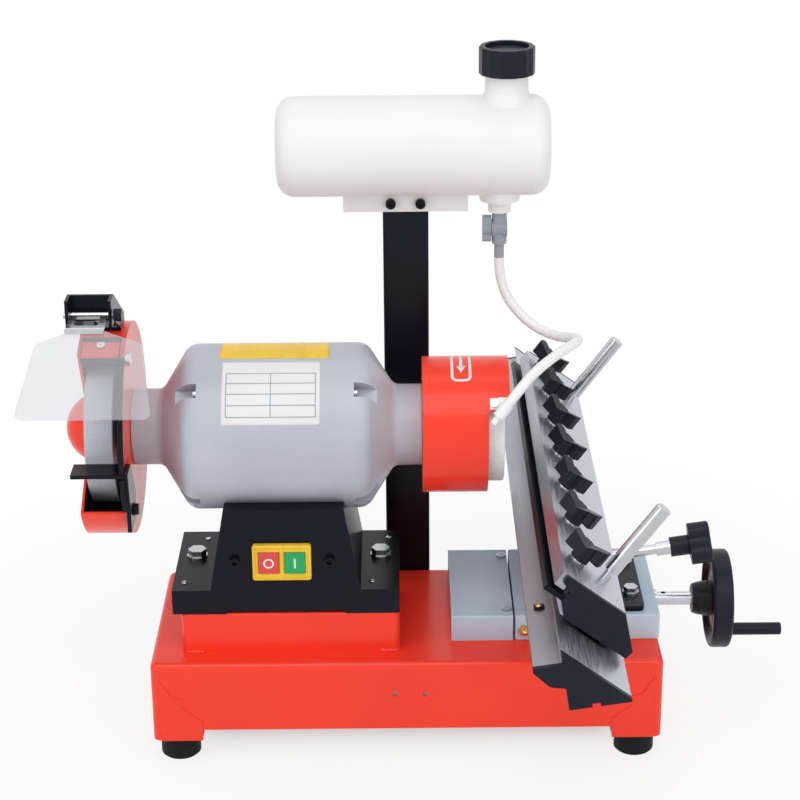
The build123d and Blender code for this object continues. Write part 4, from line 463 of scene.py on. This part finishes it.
RING_INNER = 3.6
RING_OUTER = 5.3
RING_BEVEL = 0.1
BAR_ROWS = ((0.55, -5.4), (0.9, -5.0), (0.9, 5.0), (0.55, 5.4))


def stop_mark():
    ring = [
        (RING_INNER, 0),
        (RING_OUTER, 0),
        (RING_OUTER - RING_BEVEL, PRINT_HEIGHT),
        (RING_INNER + RING_BEVEL, PRINT_HEIGHT),
    ]
    bm = bmesh.new()
    lathe(bm, ring, (STOP_X, BUTTON_FACE, BUTTON_HEIGHT), TO_FRONT)
    mesh_piece("stop_mark", bm, "tank_plastic", "stop_button", smooth=False)


def start_mark():
    lower = []
    for half, rise in BAR_ROWS:
        xs = (START_X - half, START_X + half)
        lower.append([metres((x, BUTTON_FACE, BUTTON_HEIGHT + rise)) for x in xs])
    upper = [[point - metres((0, PRINT_HEIGHT, 0)) for point in row] for row in lower]
    bm = bmesh.new()
    slab(bm, lower, upper)
    mesh_piece("start_mark", bm, "tank_plastic", "start_button", smooth=False)


# Plates on the motor

PLATE_RADII = (BARREL_RADIUS, BARREL_RADIUS + PRINT_HEIGHT)
PLATE_EDGE = 1.6
PLATE_ENDS = (-188.6, -93.1)
PLATE_ANGLES = (22.5, 71.5)
RULE_WIDTH = 0.7
RULE_ROWS = (28.0, 36.0, 44.0, 52.0, 60.0)
RULE_COLUMNS = (-184.0, -141.0, -97.5)
ROW_STEPS = 4
COLUMN_STEPS = 10
STRIP_ENDS = (-192.0, -85.0)
STRIP_ANGLES = (75.0, 104.0)


def motor_plates():
    """Bare rating plate with ruled lines, and a bare yellow strip above it."""
    bm = bmesh.new()
    bent_plate(bm, with_edges(*PLATE_ENDS, PLATE_EDGE), PLATE_ANGLES, PLATE_RADII)
    mesh_piece("rating_plate", bm, "tank_plastic", "base")
    bm = bmesh.new()
    for angle in RULE_ROWS:
        row = [(x, angle) for x in steps_between(RULE_COLUMNS[0], RULE_COLUMNS[-1], ROW_STEPS)]
        ribbon(bm, row, RULE_WIDTH, PLATE_RADII[1])
    for x in RULE_COLUMNS:
        column = [(x, a) for a in steps_between(RULE_ROWS[0], RULE_ROWS[-1], COLUMN_STEPS)]
        ribbon(bm, column, RULE_WIDTH, PLATE_RADII[1])
    mesh_piece("plate_rules", bm, "grey_plastic", "base")
    bm = bmesh.new()
    bent_plate(bm, with_edges(*STRIP_ENDS, PLATE_EDGE), STRIP_ANGLES, PLATE_RADII)
    mesh_piece("yellow_strip", bm, "yellow_plastic", "base")


# Turning arrow on the cup guard. The head's rows are half its width, and the angle

OUTLINE_LEFT = 35.2
OUTLINE_RIGHT = 52.7
OUTLINE_LOW = 61.0
OUTLINE_HIGH = 110.0
OUTLINE_CORNER = 5.0
OUTLINE_WIDTH = 2.8
OUTLINE_STEPS = 16
CORNER_STEPS = 6
SHAFT_WIDTH = 3.2
SHAFT_STEPS = 10
HEAD_ROWS = ((5.0, 79.0), (2.6, 74.5), (0.2, 70.0))


def turning_arrow():
    """White outline and arrow that show which way the cup wheel turns."""
    rounding = math.degrees(OUTLINE_CORNER / CUP_GUARD_RADIUS)
    side = steps_between(OUTLINE_HIGH, OUTLINE_LOW + rounding, OUTLINE_STEPS)
    corner = []
    for t in steps_between(0.0, math.pi / 2, CORNER_STEPS):
        angle = OUTLINE_LOW + rounding * (1 - math.sin(t))
        corner.append((OUTLINE_CORNER * (1 - math.cos(t)), angle))
    outline = [(OUTLINE_LEFT, a) for a in side]
    outline += [(OUTLINE_LEFT + x, a) for x, a in corner[1:]]
    outline += [(OUTLINE_RIGHT - x, a) for x, a in reversed(corner)]
    outline += [(OUTLINE_RIGHT, a) for a in reversed(side[:-1])]
    middle = (OUTLINE_LEFT + OUTLINE_RIGHT) / 2
    shaft = [(middle, a) for a in steps_between(OUTLINE_HIGH, HEAD_ROWS[0][1], SHAFT_STEPS)]
    head = [[(middle - half, a), (middle + half, a)] for half, a in HEAD_ROWS]
    bm = bmesh.new()
    ribbon(bm, outline, OUTLINE_WIDTH, CUP_GUARD_RADIUS)
    ribbon(bm, shaft, SHAFT_WIDTH, CUP_GUARD_RADIUS)
    bent_slab(bm, head, (CUP_GUARD_RADIUS, CUP_GUARD_RADIUS + PRINT_HEIGHT))
    mesh_piece("turning_arrow", bm, "tank_plastic", "base")


# Welds. A ripple is its height, and its turn from one ring to the next in radians

WELD_STARTS = (-233.0, -39.0)
WELD_Y = -90.2
WELD_Z = 113.0
WELD_RADIUS = 1.9
COARSE_RIPPLE = (0.5, 0.55)
FINE_RIPPLE = (0.15, 1.7)
WELD_RINGS = 40
RING_SPACING = 0.5
END_RINGS = 3
WELD_STEPS = 14


def weld_radius(ring):
    coarse = COARSE_RIPPLE[0] * abs(math.sin(ring * COARSE_RIPPLE[1]))
    fine = FINE_RIPPLE[0] * math.sin(ring * FINE_RIPPLE[1])
    taper = min(1.0, ring / END_RINGS, (WELD_RINGS - ring) / END_RINGS)
    return (WELD_RADIUS + coarse + fine) * taper


def weld_beads():
    """Rippled weld at the foot of the riser's two front corners."""
    middle = [(weld_radius(i), i * RING_SPACING) for i in range(1, WELD_RINGS)]
    profile = [(0, 0), *middle, (0, WELD_RINGS * RING_SPACING)]
    bm = bmesh.new()
    for start in WELD_STARTS:
        lathe(bm, profile, (start, WELD_Y, WELD_Z), TO_RIGHT, steps=WELD_STEPS)
    mesh_piece("weld_beads", bm, "red_paint", "base")


# Rivets, nuts and screws. Heads and nuts are given as radius and height

RIVET_HEAD = (2.9, 1.7)
RIVET_PLACES = ((-232.75, -71.5), (-216.75, 28.5), (-45.25, -71.5), (-29.25, 28.5))
WING_TOP = 181.0
GUARD_NUT = (7.0, 5.0)
GUARD_NUT_PLACE = (-281.0, -49.1, 411.8)
THUMB_NUT = ((0, 0), (5.6, 0), (6.2, 0.8), (6.2, 6.8), (5.6, 7.6), (0, 7.6))
THUMB_NUT_PLACE = (-286.8, -71.0, 465.0)
THUMB_NUT_STEPS = 36
THUMB_NUT_FLUTE = 0.07
STOP_NUT = (5.6, 2.4)
STOP_NUT_PLACE = (-36.7, 68.5, -261.5)
STOP_SCREW = (3.2, 1.6)
STOP_SCREW_PLACE = (-36.7, 70.8, -261.5)
GIB_NUT = (6.0, 4.0)
GIB_NUT_PLACE = (107.5, -69.5, 123.5)
GIB_SCREW = (3.0, 4.5)
GIB_SCREW_PLACE = (107.5, -73.4, 123.5)


def small_fixings():
    bm = bmesh.new()
    for x, y in RIVET_PLACES:
        lathe(bm, domed(*RIVET_HEAD), (x, y, WING_TOP), UP)
    mesh_piece("wing_rivets", bm, "bright_steel", "base")
    bm = bmesh.new()
    lathe(bm, hexagon(*GUARD_NUT), GUARD_NUT_PLACE, TO_RIGHT, steps=HEX_STEPS)
    mesh_piece("guard_nut", bm, "bright_steel", "base", smooth=False)
    bm = bmesh.new()
    lathe(bm, THUMB_NUT, THUMB_NUT_PLACE, TO_RIGHT, THUMB_NUT_STEPS, THUMB_NUT_FLUTE)
    mesh_piece("shield_thumb_nut", bm, "black_plastic", "eye_shield", smooth=False)
    off_rail = (-math.sin(RAIL_TILT), 0, math.cos(RAIL_TILT))
    bm = bmesh.new()
    lathe(bm, hexagon(*STOP_NUT), on_rail(*STOP_NUT_PLACE), off_rail, steps=HEX_STEPS)
    mesh_piece("rail_stop_nut", bm, "black_steel", "rail", smooth=False)
    bm = bmesh.new()
    lathe(bm, domed(*STOP_SCREW), on_rail(*STOP_SCREW_PLACE), off_rail)
    mesh_piece("rail_stop_screw", bm, "brass", "rail")
    bm = bmesh.new()
    lathe(bm, hexagon(*GIB_NUT), GIB_NUT_PLACE, TO_FRONT, steps=HEX_STEPS)
    lathe(bm, domed(*GIB_SCREW), GIB_SCREW_PLACE, TO_FRONT)
    mesh_piece("gib_screw", bm, "brass", "saddle", smooth=False)


# Wheel guard. The lining's walls are their two faces in X, and their angles

LINING_ENDS = (-323.4, -284.2)
LINING_ANGLES = (66.0, 329.0)
LINING_DEPTHS = (2.8, 2.6)
LINING_COLUMNS = 4
WALL_RADII = (36.0, 60.0, 82.0, 103.0)
WALL_STEPS = 72
WALLS = (((-283.8, -284.1), (3.5, 345.5)), ((-323.4, -323.7), LINING_ANGLES))
EDGING_ENDS = (-285.0, -280.0)
EDGING_EDGE = 0.8
EDGING_RADII = (103.0, 107.4)
EDGING_ANGLES = ((-2.6, 61.0), (-28.0, -6.9))

# Lip: a slab that touches the rim at this angle, its profile in radius and height along the slab
LIP_ANGLE = math.radians(68.0)
LIP_ENDS = (-321.5, -286.0)
LIP_SHEET = 0.5
LIP_PROFILE = ((105.8, -13.4), (108.9, -13.4), (109.0, -12.6), (109.0, -4.0), (109.0, 6.0))


def guard_lining():
    """Black lining of the rim and of both walls."""
    bm = bmesh.new()
    radii = [GUARD_RADIUS - depth for depth in LINING_DEPTHS]
    bent_plate(bm, steps_between(*LINING_ENDS, LINING_COLUMNS), LINING_ANGLES, radii)
    for faces, angles in WALLS:
        turns = steps_between(*angles, WALL_STEPS)
        inner, outer = [
            [[around_motor(x, radius, a) for radius in WALL_RADII] for a in turns] for x in faces
        ]
        slab(bm, inner, outer)
    mesh_piece("guard_lining", bm, "black_paint", "base")


def window_edging():
    """Rubber edge of the window."""
    bm = bmesh.new()
    for angles in EDGING_ANGLES:
        bent_plate(bm, with_edges(*EDGING_ENDS, EDGING_EDGE), angles, EDGING_RADII)
    mesh_piece("window_edging", bm, "rubber", "base")


def beside_rim(x, radius, shift):
    """Point on a flat that touches a circle about the motor's axis at the lip."""
    y = MOTOR_Y - radius * math.cos(LIP_ANGLE) + shift * math.sin(LIP_ANGLE)
    z = MOTOR_Z + radius * math.sin(LIP_ANGLE) + shift * math.cos(LIP_ANGLE)
    return metres((x, y, z))


def guard_lip():
    lower, upper = [
        [[beside_rim(x, r + grow, t - grow) for x in LIP_ENDS] for r, t in LIP_PROFILE]
        for grow in (0.0, LIP_SHEET)
    ]
    bm = bmesh.new()
    slab(bm, lower, upper)
    mesh_piece("guard_lip", bm, "red_paint", "base", smooth=False)


hose()
stop_mark()
start_mark()
motor_plates()
turning_arrow()
weld_beads()
small_fixings()
guard_lining()
window_edging()
guard_lip()


# Camera of the photograph

CAMERA_PLACE = (-16.0, -1970.5, 1143.0)
CAMERA_PITCH = math.radians(22.0)
CAMERA_ROLL = math.radians(-0.5)
CAMERA_LENS = 95.6
CAMERA_SENSOR = 36.0
CAMERA_REACH = 20.0


def camera():
    data = bpy.data.cameras.new("camera")
    data.lens = CAMERA_LENS
    data.sensor_width = CAMERA_SENSOR
    data.clip_end = CAMERA_REACH
    view = add_object("camera", data)
    place = Matrix.Translation(metres(CAMERA_PLACE))
    pitch = Matrix.Rotation(math.pi / 2 - CAMERA_PITCH, 4, "X")
    roll = Matrix.Rotation(CAMERA_ROLL, 4, "Z")
    view.matrix_world = place @ pitch @ roll
    bpy.context.scene.camera = view


# Floor and light. The floor glows white; a painted shadow cuts its glow back around the object and
# most under its base, where the rendered shadow then shows

WHITE = (1.0, 1.0, 1.0, 1.0)
FLOOR_COLOUR = (0.93, 0.93, 0.93)
FLOOR_ROUGHNESS = 0.6
FLOOR_SIZE = 6.0
BASE_X = -0.0115
BASE_Y = 0.02
# Painted shadow on the floor: where it fades out, in metres from the base and from the origin, and
# how much glow it takes away or leaves
SHADOW_EDGE_X = (0.18, 0.26)
SHADOW_EDGE_Y = (0.02, 0.11)
PAINTED_SHADOW_UNDER_BASE = 0.7
SHADOW_REACH = (0.38, 0.85)
GLOW_IN_NEAR_SHADOW = 0.8
WORLD_LIGHT = 0.5
WORLD_SEEN = 1.0


def math_node(tree, operation, first, second=0.0):
    """Math node of two inputs, each a socket or a number."""
    node = tree.nodes.new("ShaderNodeMath")
    node.operation = operation
    set_inputs(tree, node, {0: first, 1: second})
    return node.outputs["Value"]


def seen_directly(tree):
    """1 for rays that show the background itself, in the picture, a mirror or a clear sheet."""
    rays = tree.nodes.new("ShaderNodeLightPath").outputs
    mirrored = math_node(tree, "MAXIMUM", rays["Is Camera Ray"], rays["Is Glossy Ray"])
    return math_node(tree, "MAXIMUM", mirrored, rays["Is Transmission Ray"])


def fade(tree, value, distances, shares):
    """Smooth change from one share to another between two distances."""
    step = tree.nodes.new("ShaderNodeMapRange")
    step.interpolation_type = "SMOOTHSTEP"
    inputs = {
        "Value": value,
        "From Min": distances[0],
        "From Max": distances[1],
        "To Min": shares[0],
        "To Max": shares[1],
    }
    set_inputs(tree, step, inputs)
    return step.outputs["Result"]


def glow_with_painted_shadow(tree):
    """Share of the floor that glows, cut back by a painted shadow: little under the base, most
    around it and all far away.
    """
    place = coordinates(tree, "Object")
    split = new_node(tree, "ShaderNodeSeparateXYZ", {"Vector": place})
    off_x = math_node(tree, "SUBTRACT", split.outputs["X"], BASE_X)
    off_y = math_node(tree, "SUBTRACT", split.outputs["Y"], BASE_Y)
    shadow_x = fade(tree, math_node(tree, "ABSOLUTE", off_x), SHADOW_EDGE_X, (PAINTED_SHADOW_UNDER_BASE, 0.0))
    shadow_y = fade(tree, math_node(tree, "ABSOLUTE", off_y), SHADOW_EDGE_Y, (1.0, 0.0))
    reach = tree.nodes.new("ShaderNodeVectorMath")
    reach.operation = "LENGTH"
    set_inputs(tree, reach, {0: place})
    around = fade(tree, reach.outputs["Value"], SHADOW_REACH, (GLOW_IN_NEAR_SHADOW, 1.0))
    return math_node(tree, "SUBTRACT", around, math_node(tree, "MULTIPLY", shadow_x, shadow_y))


def floor():
    material = new_material("floor", FLOOR_COLOUR, FLOOR_ROUGHNESS)
    tree = material.node_tree
    glow = new_node(tree, "ShaderNodeEmission", {"Color": WHITE})
    inputs = {
        "Fac": math_node(tree, "MULTIPLY", seen_directly(tree), glow_with_painted_shadow(tree)),
        1: tree.nodes["Principled BSDF"].outputs["BSDF"],
        2: glow.outputs["Emission"],
    }
    mix = new_node(tree, "ShaderNodeMixShader", inputs)
    set_inputs(tree, tree.nodes["Material Output"], {"Surface": mix.outputs["Shader"]})
    bm = bmesh.new()
    bmesh.ops.create_grid(bm, x_segments=1, y_segments=1, size=FLOOR_SIZE)
    mesh = new_mesh("floor", bm)
    mesh.materials.append(material)
    plane = add_object("floor", mesh)


def world():
    scene_world = bpy.data.worlds.new("studio")
    scene_world.use_nodes = True
    bpy.context.scene.world = scene_world
    tree = scene_world.node_tree
    inputs = {"Value": seen_directly(tree), "To Min": WORLD_LIGHT, "To Max": WORLD_SEEN}
    strength = new_node(tree, "ShaderNodeMapRange", inputs)
    inputs = {"Color": WHITE, "Strength": strength.outputs["Result"]}
    set_inputs(tree, tree.nodes["Background"], inputs)


def lamp(name, place, target, size, watts):
    data = bpy.data.lights.new(name, "AREA")
    data.shape = "RECTANGLE"
    data.size, data.size_y = size
    data.energy = watts
    light = add_object(name, data)
    aim = (Vector(target) - Vector(place)).to_track_quat("-Z", "Y")
    light.matrix_world = Matrix.Translation(place) @ aim.to_matrix().to_4x4()


camera()
floor()
world()
lamp("key", place=(-0.63, -2.34, 4.12), target=(0.0, 0.0, 0.25), size=(3.6, 2.9), watts=76.0)
lamp("right", place=(1.5, -1.7, 1.2), target=(0.05, 0.0, 0.2), size=(1.2, 1.6), watts=12.5)
lamp("left", place=(-1.7, -1.3, 1.0), target=(-0.15, 0.0, 0.3), size=(0.7, 1.4), watts=6.0)
lamp("back", place=(0.32, 1.28, 3.66), target=(0.0, 0.0, 0.3), size=(2.6, 1.9), watts=13.0)
bpy.context.scene.view_settings.view_transform = "Standard"
